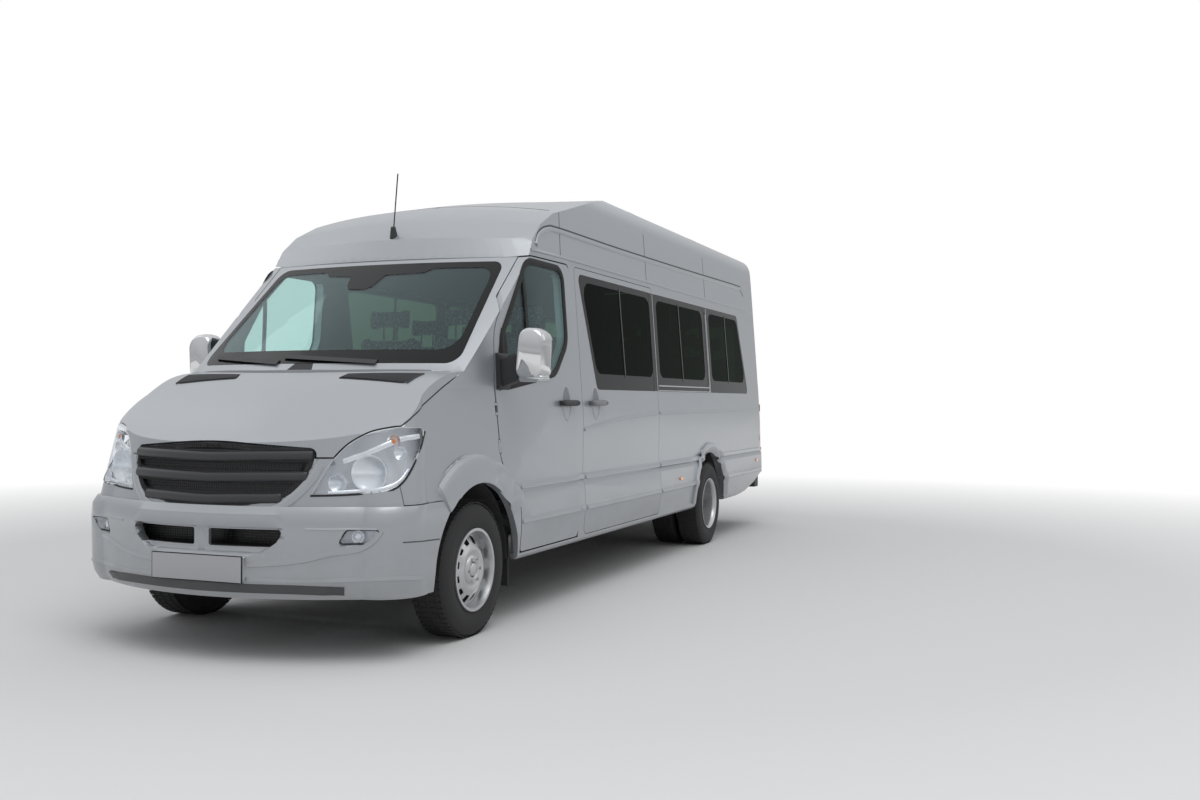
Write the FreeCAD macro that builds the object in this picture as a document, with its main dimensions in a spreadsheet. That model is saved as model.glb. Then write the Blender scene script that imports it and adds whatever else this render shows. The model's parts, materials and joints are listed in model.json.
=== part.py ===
# A silver high-roof minibus, built as separate pieces on a separate-chassis van body.
# Lengths are millimetres. Inside this file x is measured from the front axle, forward positive,
# y to the vehicle's left and z up from the ground; every piece is then placed so that the
# origin lies on the ground, midway between the bumpers.
import FreeCAD, Part

import math
import os

import Sketcher

V = FreeCAD.Vector
DOC = FreeCAD.newDocument("Minibus")
SHEET = DOC.addObject("Spreadsheet::Sheet", "Sizes")

# alias, value in mm (or degrees, or a count), what it is
DRIVING_SIZES = [
    ("wheelbase", 4325, "front axle to rear axle"),
    ("front_overhang", 1004, "front axle to the bumper's face"),
    ("rear_overhang", 2016, "rear axle to the rear bumper's face"),
    ("rear_step", 90, "rear bumper's face to the rear doors' face"),
    ("sill_height", 345, "ground to the body's lower edge"),
    ("roof_height", 2750, "ground to the roof's centre"),
    ("gutter_height", 2120, "ground to the roof seam"),
    ("waist_height", 1310, "ground to the side windows' lower edge"),
    ("window_top", 2055, "ground to the side windows' upper edge"),
    ("body_wall", 55, "thickness of a side wall, door or pillar"),
    ("panel_wall", 25, "thickness of wings and bonnet"),
    ("door_gap", 8, "gap round a door that swings"),
    ("fixed_gap", 4, "gap round the sliding door"),
    ("seal_gap", 0.3, "gap between glass or lamp and its frame"),
    ("glass_thickness", 6, "thickness of the glass"),
    ("tyre_radius", 350, "outer radius of a tyre"),
    ("tyre_width", 205, "width of a tyre"),
    ("rim_radius", 216, "radius of the rim's flange"),
    ("front_track_half", 855, "centre line to a front wheel's middle"),
    ("rear_outer_half", 872, "centre line to an outer rear wheel's middle"),
    ("twin_spacing", 232, "between the middles of twin wheels"),
    ("arch_radius", 455, "radius of a wheel arch's opening"),
    ("liner_wall", 12, "thickness of a wheelhouse liner"),
    ("kingpin_half", 735, "centre line to a kingpin"),
    ("pin_radius", 12, "radius of a kingpin"),
    ("stub_radius", 28, "radius of a stub axle"),
    ("running_fit", 0.05, "radial clearance of a pin in its bore"),
    ("floor_height", 640, "ground to the top of the floor"),
    ("floor_thickness", 50, "thickness of the floor"),
    ("rail_half", 435, "centre line to a chassis rail's middle"),
    ("rail_width", 80, "width of a chassis rail"),
    ("rail_depth", 120, "depth of a chassis rail"),
    ("jack_pad_depth", 12, "depth of a jack pad under its rail"),
    ("hinge_radius", 11, "outer radius of a door hinge's knuckle"),
    ("hinge_pin", 5, "radius of a door hinge's pin"),
    ("rear_door_half", 830, "centre line to the rear doors' outer edge"),
    ("rear_door_bottom", 530, "ground to the rear doors' lower edge"),
    ("wing_half", 800, "centre line to the wings' inner edge"),
    ("bumper_top", 736, "ground to the front bumper's shelf"),
    ("bumper_bottom", 300, "ground to the front bumper's lower lip"),
    ("seat_width", 420, "width of a passenger seat"),
    ("seat_pitch", 790, "distance from a seat row to the next"),
    ("seat_rows", 5, "number of passenger seat rows"),
    ("steering_wheel_radius", 200, "radius of the steering wheel's rim"),
]


def fill_sheet():
    """Write each driving size into the sheet as a plain number with its alias."""
    for row, (alias, value, meaning) in enumerate(DRIVING_SIZES, start=1):
        SHEET.set(f"A{row}", meaning)
        SHEET.set(f"B{row}", str(value))
        SHEET.setAlias(f"B{row}", alias)
    DOC.recompute()


fill_sheet()


def mm(alias):
    """Read one driving size from the sheet."""
    return float(getattr(SHEET, alias))


BODY_REAR = -(mm("wheelbase") + mm("rear_overhang") - mm("rear_step"))
REAR_AXLE = -mm("wheelbase")
SHIFT_TEXT = "(Sizes.wheelbase + Sizes.rear_overhang - Sizes.front_overhang) / 2"
SUB_PARTS = []


def point(plane, u, v, w=0.0):
    """Turn plane coordinates into space: xz looks along y, yz along x, xy along z."""
    return {"xz": V(u, w, v), "yz": V(w, u, v), "xy": V(u, v, w)}[plane]


def outline(plane, corners, at=0.0):
    """Closed wire through corners (u, v, radius), each rounded to its radius."""
    count = len(corners)
    path = []
    for i, corner in enumerate(corners):
        here = point(plane, corner[0], corner[1], at)
        radius = corner[2] if len(corner) > 2 else 0
        if radius <= 0:
            path.append((here, here, None))
            continue
        before = corners[i - 1]
        after = corners[(i + 1) % count]
        back = (point(plane, before[0], before[1], at) - here).normalize()
        ahead = (point(plane, after[0], after[1], at) - here).normalize()
        half = back.getAngle(ahead) / 2
        reach = radius / math.tan(half)
        bisector = (back + ahead).normalize()
        middle = here + bisector * (radius / math.sin(half) - radius)
        path.append((here + back * reach, here + ahead * reach, middle))
    edges = []
    for i, (start, end, middle) in enumerate(path):
        if middle is not None:
            edges.append(Part.Arc(start, middle, end).toShape())
        following = path[(i + 1) % count][0]
        if (following - end).Length > 0.01:
            edges.append(Part.LineSegment(end, following).toShape())
    return Part.Wire(edges)


def slab(plane, corners, low, high):
    """Solid prism on an outline, from low to high along the plane's normal."""
    face = Part.Face(outline(plane, corners, low))
    normal = {"xz": V(0, 1, 0), "yz": V(1, 0, 0), "xy": V(0, 0, 1)}[plane]
    return face.extrude(normal * (high - low))


def box(x0, x1, y0, y1, z0, z1):
    """Box between two corners."""
    return Part.makeBox(x1 - x0, y1 - y0, z1 - z0, V(x0, y0, z0))


def rod(start, end, radius):
    """Round bar between two points."""
    span = end - start
    return Part.makeCylinder(radius, span.Length, start, span)


def mirrored(shape):
    """The same shape on the vehicle's other side."""
    return shape.mirror(V(0, 0, 0), V(0, 1, 0))


def both_sides(shape):
    """A shape and its mirror image, as one compound."""
    return Part.makeCompound([shape, mirrored(shape)])


def fused(shapes):
    """Union of a list of shapes."""
    first, rest = shapes[0], shapes[1:]
    return first.fuse(rest).removeSplitter() if rest else first


def keep_solids(shape, smallest=2000.0):
    """Drop slivers that a cut leaves, and return the solids as one shape."""
    solids = [s for s in shape.Solids if s.Volume > smallest]
    return solids[0] if len(solids) == 1 else Part.makeCompound(solids)


def add(name, shape):
    """Make a sub-part from a shape."""
    node = DOC.addObject("Part::Feature", name)
    node.Shape = keep_solids(shape)
    register(node, name)
    return node


def register(node, name, extra=("0", "0", "0")):
    """Label a sub-part and bind its placement to the sheet."""
    node.Label = name
    node.setExpression(".Placement.Base.x", f"{SHIFT_TEXT} + {extra[0]}")
    if extra[1] != "0":
        node.setExpression(".Placement.Base.y", extra[1])
    if extra[2] != "0":
        node.setExpression(".Placement.Base.z", extra[2])
    SUB_PARTS.append(node)


# The body's outer form
# height, half width of the outer skin behind the front door
SIDE_SECTION = [
    (345, 955), (362, 972), (535, 988), (541, 996), (573, 996), (579, 989), (700, 984),
    (735, 970), (741, 982), (769, 982), (775, 969), (1150, 972), (1300, 959), (2112, 899), (2120, 903),
    (2132, 897), (2440, 868),
]
ROOF_SHOULDER = 190      # radius where the side turns into the roof
ROOF_EDGE_DROP = 62      # how much lower the roof is at its shoulder than at its centre


def body_section(inset):
    """Closed cross-section of the body, all of it moved inwards by inset."""
    right = [(half - inset, height) for height, half in SIDE_SECTION]
    if inset > 0:
        right = [(959 - inset, -50), (972 - inset, 362), (972 - inset, 1150), (868 - inset, 2440)]
    shoulder_z = mm("roof_height") - ROOF_EDGE_DROP - inset
    shoulder_y = 838 - inset
    corner = [(half, height, 0) for half, height in right]
    corner.append((shoulder_y, shoulder_z, ROOF_SHOULDER - inset))
    edges = outline("yz", corner + [(0, shoulder_z), (0, right[0][1])])
    side = Part.Face(edges)
    # the crown over the shoulder line is a shallow arc
    arc_start = V(0, shoulder_y - 150, shoulder_z)
    crown_edge = Part.Arc(arc_start, V(0, 0, shoulder_z + ROOF_EDGE_DROP), V(0, -arc_start.y, shoulder_z))
    base = Part.LineSegment(V(0, -arc_start.y, shoulder_z), arc_start)
    crown = Part.Face(Part.Wire([crown_edge.toShape(), base.toShape()]))
    return side, crown


def body_prism(inset, rear, front):
    """The section swept from rear to front."""
    side, crown = body_section(inset)
    length = V(front - rear, 0, 0)
    solids = []
    for face in (side, mirrored(side), crown):
        moved = face.copy()
        moved.translate(V(rear, 0, 0))
        solids.append(moved.extrude(length))
    return solids[0].fuse(solids[1:]).removeSplitter()


# height, nose, taper towards the nose, half width
NOSE_LEVELS = [
    (200, 965, 36, 997),
    (700, 968, 44, 997),
    (1300, 868, 106, 962),
    (2900, 868, 0, 842),
]
REAR_CORNER = 140        # radius of the rear corners in plan


def nose_section(height, nose, taper, half, inset):
    """Plan outline of the body at one height: rounded rear corners, bowed front."""
    half -= inset
    tip = nose - inset
    front_half = half - taper
    side = [
        V(BODY_REAR + inset, half - REAR_CORNER + inset, height),
        V(BODY_REAR + inset + (REAR_CORNER - inset) * 0.293, half - (REAR_CORNER - inset) * 0.293, height),
        V(BODY_REAR + REAR_CORNER, half, height),
        V(-900, half, height),
        V(tip - 475, front_half, height),
        V(tip - 255, front_half - 58, height),
        V(tip - 200, front_half - 190, height),
    ]
    other = [V(p.x, -p.y, height) for p in side]
    edges = [
        Part.LineSegment(other[0], side[0]),
        Part.Arc(side[0], side[1], side[2]),
        Part.LineSegment(side[2], side[3]),
        Part.LineSegment(side[3], side[4]),
        Part.Arc(side[4], side[5], side[6]),
        Part.Arc(side[6], V(tip, 0, height), other[6]),
        Part.Arc(other[6], other[5], other[4]),
        Part.LineSegment(other[4], other[3]),
        Part.LineSegment(other[3], other[2]),
        Part.Arc(other[2], other[1], other[0]),
    ]
    return Part.Wire([e.toShape() for e in edges])


def nose_form(inset):
    """Plan form of the body from ground to roof."""
    wires = [nose_section(*level, inset) for level in NOSE_LEVELS]
    return Part.makeLoft(wires, True, True)


def side_core(inset):
    """Body without its windscreen, bonnet and cap cuts, moved inwards by inset."""
    return body_prism(inset, BODY_REAR - 300, 1200).common(nose_form(inset))


# station x, height at the centre, height at y 850
BONNET_STATIONS = [(1150, 930, 800), (930, 1022, 925), (620, 1198, 1100), (250, 1386, 1340), (60, 1432, 1386),
                   (-140, 1452, 1405), (-600, 1452, 1405), (-1250, 1452, 1405)]


def above_bonnet(inset):
    """Everything above the bonnet's skin."""
    wires = []
    for x, centre, side in BONNET_STATIONS:
        top = 3200
        left = V(x, 1100, side - (centre - side) * 0.6 - inset)
        right = V(x, -1100, left.z)
        arc = Part.Arc(right, V(x, 0, centre - inset), left)
        lines = [Part.LineSegment(left, V(x, 1100, top)), Part.LineSegment(V(x, 1100, top), V(x, -1100, top)),
                 Part.LineSegment(V(x, -1100, top), right)]
        wires.append(Part.Wire([arc.toShape()] + [e.toShape() for e in lines]))
    return Part.makeLoft(wires, True, False)


SCREEN_BASE = (205, 1410, -35, 860)     # x at centre, height, x at the side, half width
SCREEN_TOP = (-622, 2068, -722, 800)


def ahead_of_screen(inset):
    """Everything ahead of the windscreen's outer face."""
    x0, z0, xs0, half0 = SCREEN_BASE
    x1, z1, xs1, half1 = SCREEN_TOP
    wires = []
    for z in (500, ROOF_CAP[0][1]):
        share = (z - z0) / (z1 - z0)
        centre = x0 + (x1 - x0) * share - inset * 1.25
        half = half0 + (half1 - half0) * share
        edge = xs0 + (xs1 - xs0) * share - inset * 1.25
        wide = 1100
        spread = (centre - edge) * (wide / half) ** 2
        arc = Part.Arc(V(centre - spread, wide, z), V(centre, 0, z), V(centre - spread, -wide, z))
        lines = [
            Part.LineSegment(V(centre - spread, -wide, z), V(3000, -wide, z)),
            Part.LineSegment(V(3000, -wide, z), V(3000, wide, z)),
            Part.LineSegment(V(3000, wide, z), V(centre - spread, wide, z)),
        ]
        wires.append(Part.Wire([arc.toShape()] + [e.toShape() for e in lines]))
    return Part.makeLoft(wires, True, True)


# x and height of the roof cap's front profile at the centre, and how much lower it is 1100 mm from it
ROOF_CAP = [(-632, 2080, 0), (-708, 2215, 30), (-840, 2345, 70), (-1050, 2450, 85), (-1700, 2588, 40), (-2350, 2690, 0),
            (-3100, 2752, 0)]
ROOF_CAP_SWEEP = 189     # how far the cap's profile falls back 1100 mm from the centre


def ahead_of_cap(inset):
    """Everything ahead of and above the roof cap's front."""
    wires = []
    for y, shift, share in ((-1100, ROOF_CAP_SWEEP, 1), (0, 0, 0), (1100, ROOF_CAP_SWEEP, 1)):
        pts = [V(x - shift - inset * 0.9, y, z - drop * share - inset * 0.8) for x, z, drop in ROOF_CAP]
        pts[0].z = ROOF_CAP[0][1]
        top = 3200
        loop = pts + [V(pts[-1].x, y, top), V(1500, y, top), V(1500, y, pts[0].z)]
        wires.append(Part.makePolygon(loop + [loop[0]]))
    return Part.makeLoft(wires, True, False)


def hull(inset):
    """The closed outer form, moved inwards by inset."""
    form = body_prism(inset, BODY_REAR + inset, 1200)
    form = form.common(nose_form(inset))
    form = form.cut([ahead_of_screen(inset).common(above_bonnet(inset)), ahead_of_cap(inset)])
    return form


OUTER = hull(0)
CABIN = hull(mm("body_wall"))
SHELL = OUTER.cut(CABIN)
SIDE_ZONE = OUTER.cut(side_core(mm("body_wall")))
JAMB_CORE = side_core(mm("body_wall") + 6)


def front_arch(extra, y0, y1):
    """Cylinder of a front wheel arch."""
    return rod(V(-15, y0, mm("tyre_radius")), V(-15, y1, mm("tyre_radius")), mm("arch_radius") + extra)


def rear_arch(extra, y0, y1):
    """Cylinder of a rear wheel arch."""
    return rod(V(REAR_AXLE - 20, y0, mm("tyre_radius")), V(REAR_AXLE - 20, y1, mm("tyre_radius")),
               mm("arch_radius") + extra)


def grown(corners, by):
    """Corners of an outline moved outwards by a gap, from the outline's middle."""
    wire = outline("xy", [(c[0], c[1], 0) for c in corners])
    wide = wire.makeOffset2D(by, 2) if by else wire
    ordered = [(v.X, v.Y) for v in wide.OrderedVertexes]
    result = []
    for u, v, radius in corners:
        near = min(ordered, key=lambda p: (p[0] - u) ** 2 + (p[1] - v) ** 2)
        result.append((near[0], near[1], max(radius + by, 0) if radius else 0))
    return result


GAP = mm("door_gap")
GUTTER = mm("gutter_height")
WAIST = mm("waist_height")
TOP = mm("window_top")

# side-view outlines, x, z, corner radius
FRONT_DOOR = [
    (-300, 905, 120), (-312, 1640, 250), (-690, 2085, 260), (-1345, 2092, 40),
    (-1345, 385, 50), (-500, 385, 25), (-500, 640, 150),
]
DOOR_WINDOW = [
    (-405, 1325, 25), (-405, 1590, 60), (-735, 2042, 120), (-1222, 2042, 70), (-1225, 1600, 140), (-1030, 1415, 140),
]
SLIDING_DOOR = [(-1440, 2092, 30), (-2950, 2092, 30), (-2950, 385, 50), (-1440, 385, 50)]
# front top, front bottom, rear bottom, rear top of each side window
SIDE_WINDOWS = [
    (-1490, -1715, -2925, -2925),
    (-2985, -2985, -4370, -4370),
    (-4420, -4420, -5705, -5460),
]
# y, z, corner radius, seen from behind
REAR_DOOR = [(0, mm("rear_door_bottom"), 0), (mm("rear_door_half"), mm("rear_door_bottom"), 30),
             (mm("rear_door_half"), 2200, 100), (800, 2380, 60), (0, 2380, 0)]
REAR_WINDOW = [(110, WAIST, 50), (720, WAIST, 50), (705, 2030, 60), (110, 2030, 50)]
SCREEN_OPENING = [(-838, 1432, 60), (838, 1432, 60), (778, 2052, 70), (-778, 2052, 70)]


def window_corners(row):
    """Side window outline from a table row."""
    front_top, front_bottom, rear_bottom, rear_top = row
    return [(front_top, TOP, 45), (front_bottom, WAIST, 45), (rear_bottom, WAIST, 45), (rear_top, TOP, 45)]


def side_prism(corners, gap=0.0):
    """Outline seen from the side, cut through the left side of the body."""
    return slab("xz", grown(corners, gap), 400, 1300)


def rear_prism(corners, gap=0.0):
    """Outline seen from behind, cut through the rear end."""
    return slab("yz", grown(corners, gap), BODY_REAR - 300, BODY_REAR + 300)


GLASS_SKIN = OUTER.cut(hull(mm("glass_thickness")))
INSIDE_SKIN = hull(mm("panel_wall"))
SKIN = OUTER.cut(INSIDE_SKIN)
GRILLE_BACK = hull(mm("panel_wall") - 5)
LAMP_BACK = hull(70)
WIPER_LAYER = hull(-14).cut(OUTER)

# Door hinges: vertical axes in the gap between door and body
FRONT_HINGE = V(-296, 948, 0)
FRONT_HINGE_LEVELS = [985, 1190]
REAR_HINGE = V(BODY_REAR - 12, mm("rear_door_half") + 4, 0)
REAR_HINGE_LEVELS = [800, 1630, 2080]
KNUCKLE = 36             # height of a hinge's middle knuckle
EAR = 16                 # height of each ear above and below it


def hinge_parts(axis, level, body_arm, door_arm):
    """Ears with their pin, and the bored knuckle between them."""
    radius = mm("hinge_radius")
    low = level - KNUCKLE / 2
    high = level + KNUCKLE / 2
    ears = []
    for z0, z1 in ((low - EAR - 1, low - 1), (high + 1, high + EAR + 1)):
        ears.append(rod(V(axis.x, axis.y, z0), V(axis.x, axis.y, z1), radius))
        ears.append(box(body_arm[0], body_arm[1], body_arm[2], body_arm[3], z0, z1))
    pin = rod(V(axis.x, axis.y, low - EAR), V(axis.x, axis.y, high + EAR), mm("hinge_pin"))
    knuckle = rod(V(axis.x, axis.y, low), V(axis.x, axis.y, high), radius)
    knuckle = knuckle.fuse(box(door_arm[0], door_arm[1], door_arm[2], door_arm[3], low, high))
    bore = rod(V(axis.x, axis.y, low - 5), V(axis.x, axis.y, high + 5), mm("hinge_pin") + mm("running_fit"))
    return fused(ears + [pin]), knuckle.cut(bore)


def hinge_pocket(axis, level, inner):
    """Room for a hinge, cut from door and body."""
    tall = KNUCKLE / 2 + EAR + 4
    wide = mm("hinge_radius") + 3
    room = rod(V(axis.x, axis.y, level - tall), V(axis.x, axis.y, level + tall), wide)
    return room.fuse(box(axis.x - wide, axis.x + wide, inner, axis.y, level - tall, level + tall))


def front_hinges():
    """Left front door's hinges: body side, door side, pockets."""
    axis = FRONT_HINGE
    radius = mm("hinge_radius")
    ears, knuckles, pockets = [], [], []
    for level in FRONT_HINGE_LEVELS:
        body_arm = (axis.x - radius, axis.x + radius, 845, axis.y)
        door_arm = (axis.x - 40, axis.x, axis.y - radius, axis.y - 1)
        ear, knuckle = hinge_parts(axis, level, body_arm, door_arm)
        ears.append(ear.common(OUTER))
        knuckles.append(knuckle.common(OUTER))
        pockets.append(hinge_pocket(axis, level, 800))
    return ears, knuckles, pockets


def rear_hinges():
    """Left rear door's hinges: body side and door side."""
    axis = REAR_HINGE
    radius = mm("hinge_radius")
    ears, knuckles = [], []
    for level in REAR_HINGE_LEVELS:
        body_arm = (axis.x - radius, BODY_REAR + 60, axis.y + 6, axis.y + 15)
        door_arm = (axis.x - radius, BODY_REAR + 20, axis.y - 62, axis.y - 5)
        ear, knuckle = hinge_parts(axis, level, body_arm, door_arm)
        ears.append(ear)
        knuckles.append(knuckle)
    return ears, knuckles


FRONT_EARS, FRONT_KNUCKLES, FRONT_POCKETS = front_hinges()
REAR_EARS, REAR_KNUCKLES = rear_hinges()


# what the cab frame takes of the body's side, x and z
CAB_TRIM = [(-1345, 377, 0), (-1345, 2300, 0), (200, 2300, 0), (200, 340, 0), (-492, 340, 0), (-492, 377, 0)]
# the lower edge rises behind the rear wheels, x and z
REAR_SILL = [(-4800, 200, 0), (-4800, 345, 0), (-5235, 347, 0), (-5550, 376, 0), (-5870, 440, 0), (-6120, 522, 0),
             (-6400, 522, 0), (-6400, 200, 0)]
LAMP_LOW = 690
LAMP_HIGH = 1290


def tail_region(gap):
    """Pocket of the left tail lamp in the rear corner."""
    return box(BODY_REAR - 50, BODY_REAR + 110 - gap, mm("rear_door_half") + 20 + gap, 1100, LAMP_LOW + gap,
               LAMP_HIGH - gap)


def side_wall(sliding):
    """Left side wall from the front door's rear edge to the rear corner post."""
    wall = SHELL.common(box(BODY_REAR - 10, -492, 800, 1100, mm("sill_height"), GUTTER))
    wall = wall.cut([slab("xz", CAB_TRIM, 300, 1200), rear_arch(0, 400, 1200), front_arch(0, 400, 1200),
                     tail_region(0), rear_prism(REAR_DOOR, GAP), slab("xz", REAR_SILL, 300, 1200)])
    for number, row in enumerate(SIDE_WINDOWS):
        if sliding and number == 0:
            wall = wall.cut(side_prism(SLIDING_DOOR, mm("fixed_gap")))
        else:
            wall = wall.cut(side_prism(window_corners(row)))
    main = max(wall.Solids, key=lambda piece: piece.Volume)
    return fused([main] + REAR_EARS)


def make_sliding_door():
    """Left sliding door on its lower guide pads."""
    door = SHELL.common(side_prism(SLIDING_DOOR)).cut(side_prism(window_corners(SIDE_WINDOWS[0])))
    door = max(door.Solids, key=lambda piece: piece.Volume)
    pads = []
    for x in (-1600, -2800):
        pad = box(x - 40, x + 40, 925, 950, 385 - mm("fixed_gap"), 400)
        pads.append(pad)
    return fused([door] + pads)


def door_cut(corners):
    """Opening for a swinging side door, with a jamb behind it."""
    return side_prism(corners, GAP).cut(JAMB_CORE)


# lamp and fog lamp outlines seen along a line turned LAMP_TURN degrees outwards: across, height, corner radius
LAMP_TURN = 33
HEADLAMP = [(-22, 783, 6), (68, 938, 300), (150, 1026, 300), (255, 1085, 300), (380, 1108, 300), (500, 1104, 20),
            (522, 1082, 12), (494, 994, 300), (443, 893, 200), (392, 831, 100), (325, 804, 200), (158, 789, 0)]
FOG_LAMP = [(98, 546, 16), (140, 630, 24), (284, 636, 16), (286, 602, 20), (250, 564, 24)]
# half of the grille's outline from the front, from its foot up: y, z, corner radius
GRILLE_HALF = [(400, 762, 180), (490, 835, 180), (530, 941, 140), (528, 1000, 30)]
GRILLE_FOOT = 706
GRILLE_CROWN = 1038


def turned_slab(corners, low, high):
    """Prism on an outline seen along the lamps' line."""
    return slab("yz", corners, low, high).rotate(V(0, 0, 0), V(0, 0, 1), LAMP_TURN)


def headlamp_region(gap):
    """Left headlamp's almond, cut through the nose."""
    return turned_slab(grown(HEADLAMP, gap), 700, 1500)


def grille_region(gap):
    """Front view outline of the grille opening."""
    left = [(-y, z, radius) for y, z, radius in GRILLE_HALF]
    corners = [(0, GRILLE_FOOT, 1500)] + GRILLE_HALF + [(0, GRILLE_CROWN, 2500)] + left[::-1]
    return slab("yz", grown(corners, gap), 700, 1100)


# the bonnet's lower edge from the side: x, z, from the lip beside the grille up over the lamp to the cowl
BONNET_SIDE = [(1300, 966, 0), (640, 966, 0), (640, 1092, 0), (517, 1166, 0), (372, 1231, 0), (192, 1314, 0), (-20, 1408, 0),
               (-200, 1480, 0), (-200, 2000, 0), (1300, 2000, 0)]
BONNET_AXIS = V(88, 0, 1380)
BONNET_HINGE_HALF = 780
BONNET_EAR = 14          # middle of a bonnet hinge's knuckle to the middle of an ear
BONNET_SWEEP = 14        # room behind the bonnet's rear corners, which swing back as it lifts
BONNET_REAR = 60         # bonnet's rear edge ahead of the windscreen's base
COWL_GAP = 44            # gap from the bonnet's rear edge to the cowl


def behind_bonnet(clear):
    """Space behind a line bowed like the windscreen's base and set ahead of it."""
    x0, z0, xs0, half0 = SCREEN_BASE
    middle = V(x0 + clear, 0, 700)
    side = V(xs0 + clear, half0 + 100, 700)
    other = V(side.x, -side.y, 700)
    back = V(-1500, side.y, 700)
    arc = Part.Arc(side, middle, other)
    lines = [Part.LineSegment(other, V(back.x, -back.y, 700)),
             Part.LineSegment(V(back.x, -back.y, 700), back), Part.LineSegment(back, side)]
    return Part.Face(Part.Wire([arc.toShape()] + [e.toShape() for e in lines])).extrude(V(0, 0, 1800))


def bonnet_prism(gap=0.0):
    """Space of the bonnet: over its lip, between the wings, and clear of lamps and grille."""
    lamp = headlamp_region(GAP - gap)
    over = slab("xz", grown(BONNET_SIDE, gap), -1100, 1100)
    return over.cut([behind_bonnet(BONNET_REAR - gap), lamp, mirrored(lamp), grille_region(GAP - gap)])


def make_bonnet():
    """Bonnet skin with its hinge knuckles."""
    panel = SKIN.common(bonnet_prism(0))
    panel = max(panel.Solids, key=lambda piece: piece.Volume)
    arms = []
    axis = BONNET_AXIS
    for y in (BONNET_HINGE_HALF, -BONNET_HINGE_HALF):
        arm = box(axis.x, axis.x + 40, y - 8, y + 8, axis.z - 8, axis.z + 8)
        knuckle = rod(V(axis.x, y - 8, axis.z), V(axis.x, y + 8, axis.z), 9)
        bore = rod(V(axis.x, y - 20, axis.z), V(axis.x, y + 20, axis.z), mm("hinge_pin") + mm("running_fit"))
        arms.append(arm.fuse(knuckle).cut(bore))
    return fused([panel] + arms)


def make_cab_frame():
    """Windscreen frame, cowl, hinge pillars and firewall."""
    opening = slab("yz", SCREEN_OPENING, -1100, 800)
    frame = SHELL.common(box(-1345, 400, -1100, 1100, 1290, GUTTER)).common(behind_bonnet(BONNET_REAR - COWL_GAP))
    corner = box(-1345, 400, 800, 1100, 1200, 1386)
    frame = frame.cut([corner, mirrored(corner), door_cut(FRONT_DOOR), mirrored(door_cut(FRONT_DOOR)), opening])
    frame = max(frame.Solids, key=lambda piece: piece.Volume)
    firewall = box(-110, -80, -845, 845, mm("floor_height") - mm("floor_thickness"), 1340)
    arch = front_arch(mm("liner_wall") + 3, 500, 1200)
    pillar = box(-240, -80, 800, 895, 830, 1386).fuse(box(-290, -240, 800, 880, 930, 1386))
    one_side = [pillar.common(INSIDE_SKIN)] + FRONT_EARS + bonnet_ears()
    return fused([frame, firewall.cut([arch, mirrored(arch)])] + one_side + [mirrored(piece) for piece in one_side])


def bonnet_ears():
    """Left bonnet hinge's two ears on the cowl's front edge, with their pin."""
    axis = BONNET_AXIS
    parts = []
    for y in (BONNET_HINGE_HALF - BONNET_EAR, BONNET_HINGE_HALF + BONNET_EAR):
        parts.append(box(axis.x - 32, axis.x, y - 4, y + 4, axis.z - 8, axis.z + 8))
        parts.append(rod(V(axis.x, y - 4, axis.z), V(axis.x, y + 4, axis.z), 8))
    parts.append(rod(V(axis.x, BONNET_HINGE_HALF - BONNET_EAR, axis.z),
                     V(axis.x, BONNET_HINGE_HALF + BONNET_EAR, axis.z), mm("hinge_pin")))
    return parts




WING_FRONT = 662         # joint between wing and nose panel
WING_FOOT = 740          # joint between wing and bumper


def make_wings():
    """Front wings with their flared arches."""
    side = [(-292, 900, 120), (-292, 1460, 0), (WING_FRONT, 1460, 0), (WING_FRONT, WING_FOOT, 0), (200, WING_FOOT, 0),
            (100, 340, 0), (-492, 340, 0), (-492, 640, 150)]
    wing = SKIN.common(slab("xz", side, mm("wing_half"), 1200))
    pillar = behind_bonnet(BONNET_REAR - COWL_GAP + 4).common(box(-1500, 500, -1100, 1100, 1386, 1500))
    sweep = bonnet_prism(0).translated(V(-BONNET_SWEEP, 0, 0))
    wing = wing.cut([front_arch(0, 500, 1200), bonnet_prism(GAP), sweep, headlamp_region(0), pillar] + FRONT_POCKETS)
    wing = max(wing.Solids, key=lambda piece: piece.Volume)
    flare = Part.makeCone(610, 440, 56, V(-15, 934, mm("tyre_radius")), V(0, 1, 0)).cut(front_arch(0, 500, 1200))
    flare = flare.cut([box(-800, 800, 900, 1000, -300, WING_FOOT), OUTER, side_prism(FRONT_DOOR, GAP)])
    flare = max(flare.Solids, key=lambda piece: piece.Volume)
    wing = wing.fuse(flare)
    return both_sides(max(wing.Solids, key=lambda piece: piece.Volume))


def make_front_panel():
    """Nose panel that carries the lamps and the grille."""
    panel = SKIN.common(box(WING_FRONT + 4, 1100, -1000, 1000, 655, 1200))
    lamp = headlamp_region(0)
    panel = panel.cut([bonnet_prism(GAP), lamp, mirrored(lamp), grille_region(0)])
    front = OUTER.common(box(700, 1100, -530, 530, 655, 700)).cut(box(700, 900, -500, 500, 600, 720))
    beam = box(740, 800, -520, 520, 640, 700)
    return fused([piece for piece in panel.Solids if piece.Volume > 100000] + [front, beam])


# height, tip, taper of the front bumper
BUMPER_LEVELS = [(mm("bumper_bottom"), 962, 45), (345, 990, 38), (395, 1000, 34), (640, 1004, 30), (700, 998, 32),
                 (mm("bumper_top"), 972, 40)]
# air intake of the bumper from the front: the left half of its recess, and its left opening
RECESS_HALF = [(335, 520, 60), (405, 572, 40), (476, 640, 30)]
OPENING = [(42, 546, 12), (42, 628, 12), (441, 628, 12), (412, 572, 30), (376, 546, 20)]
PLATE_SEAT = [(-266, 382, 8), (254, 382, 8), (254, 500, 8), (-266, 500, 8)]


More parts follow.
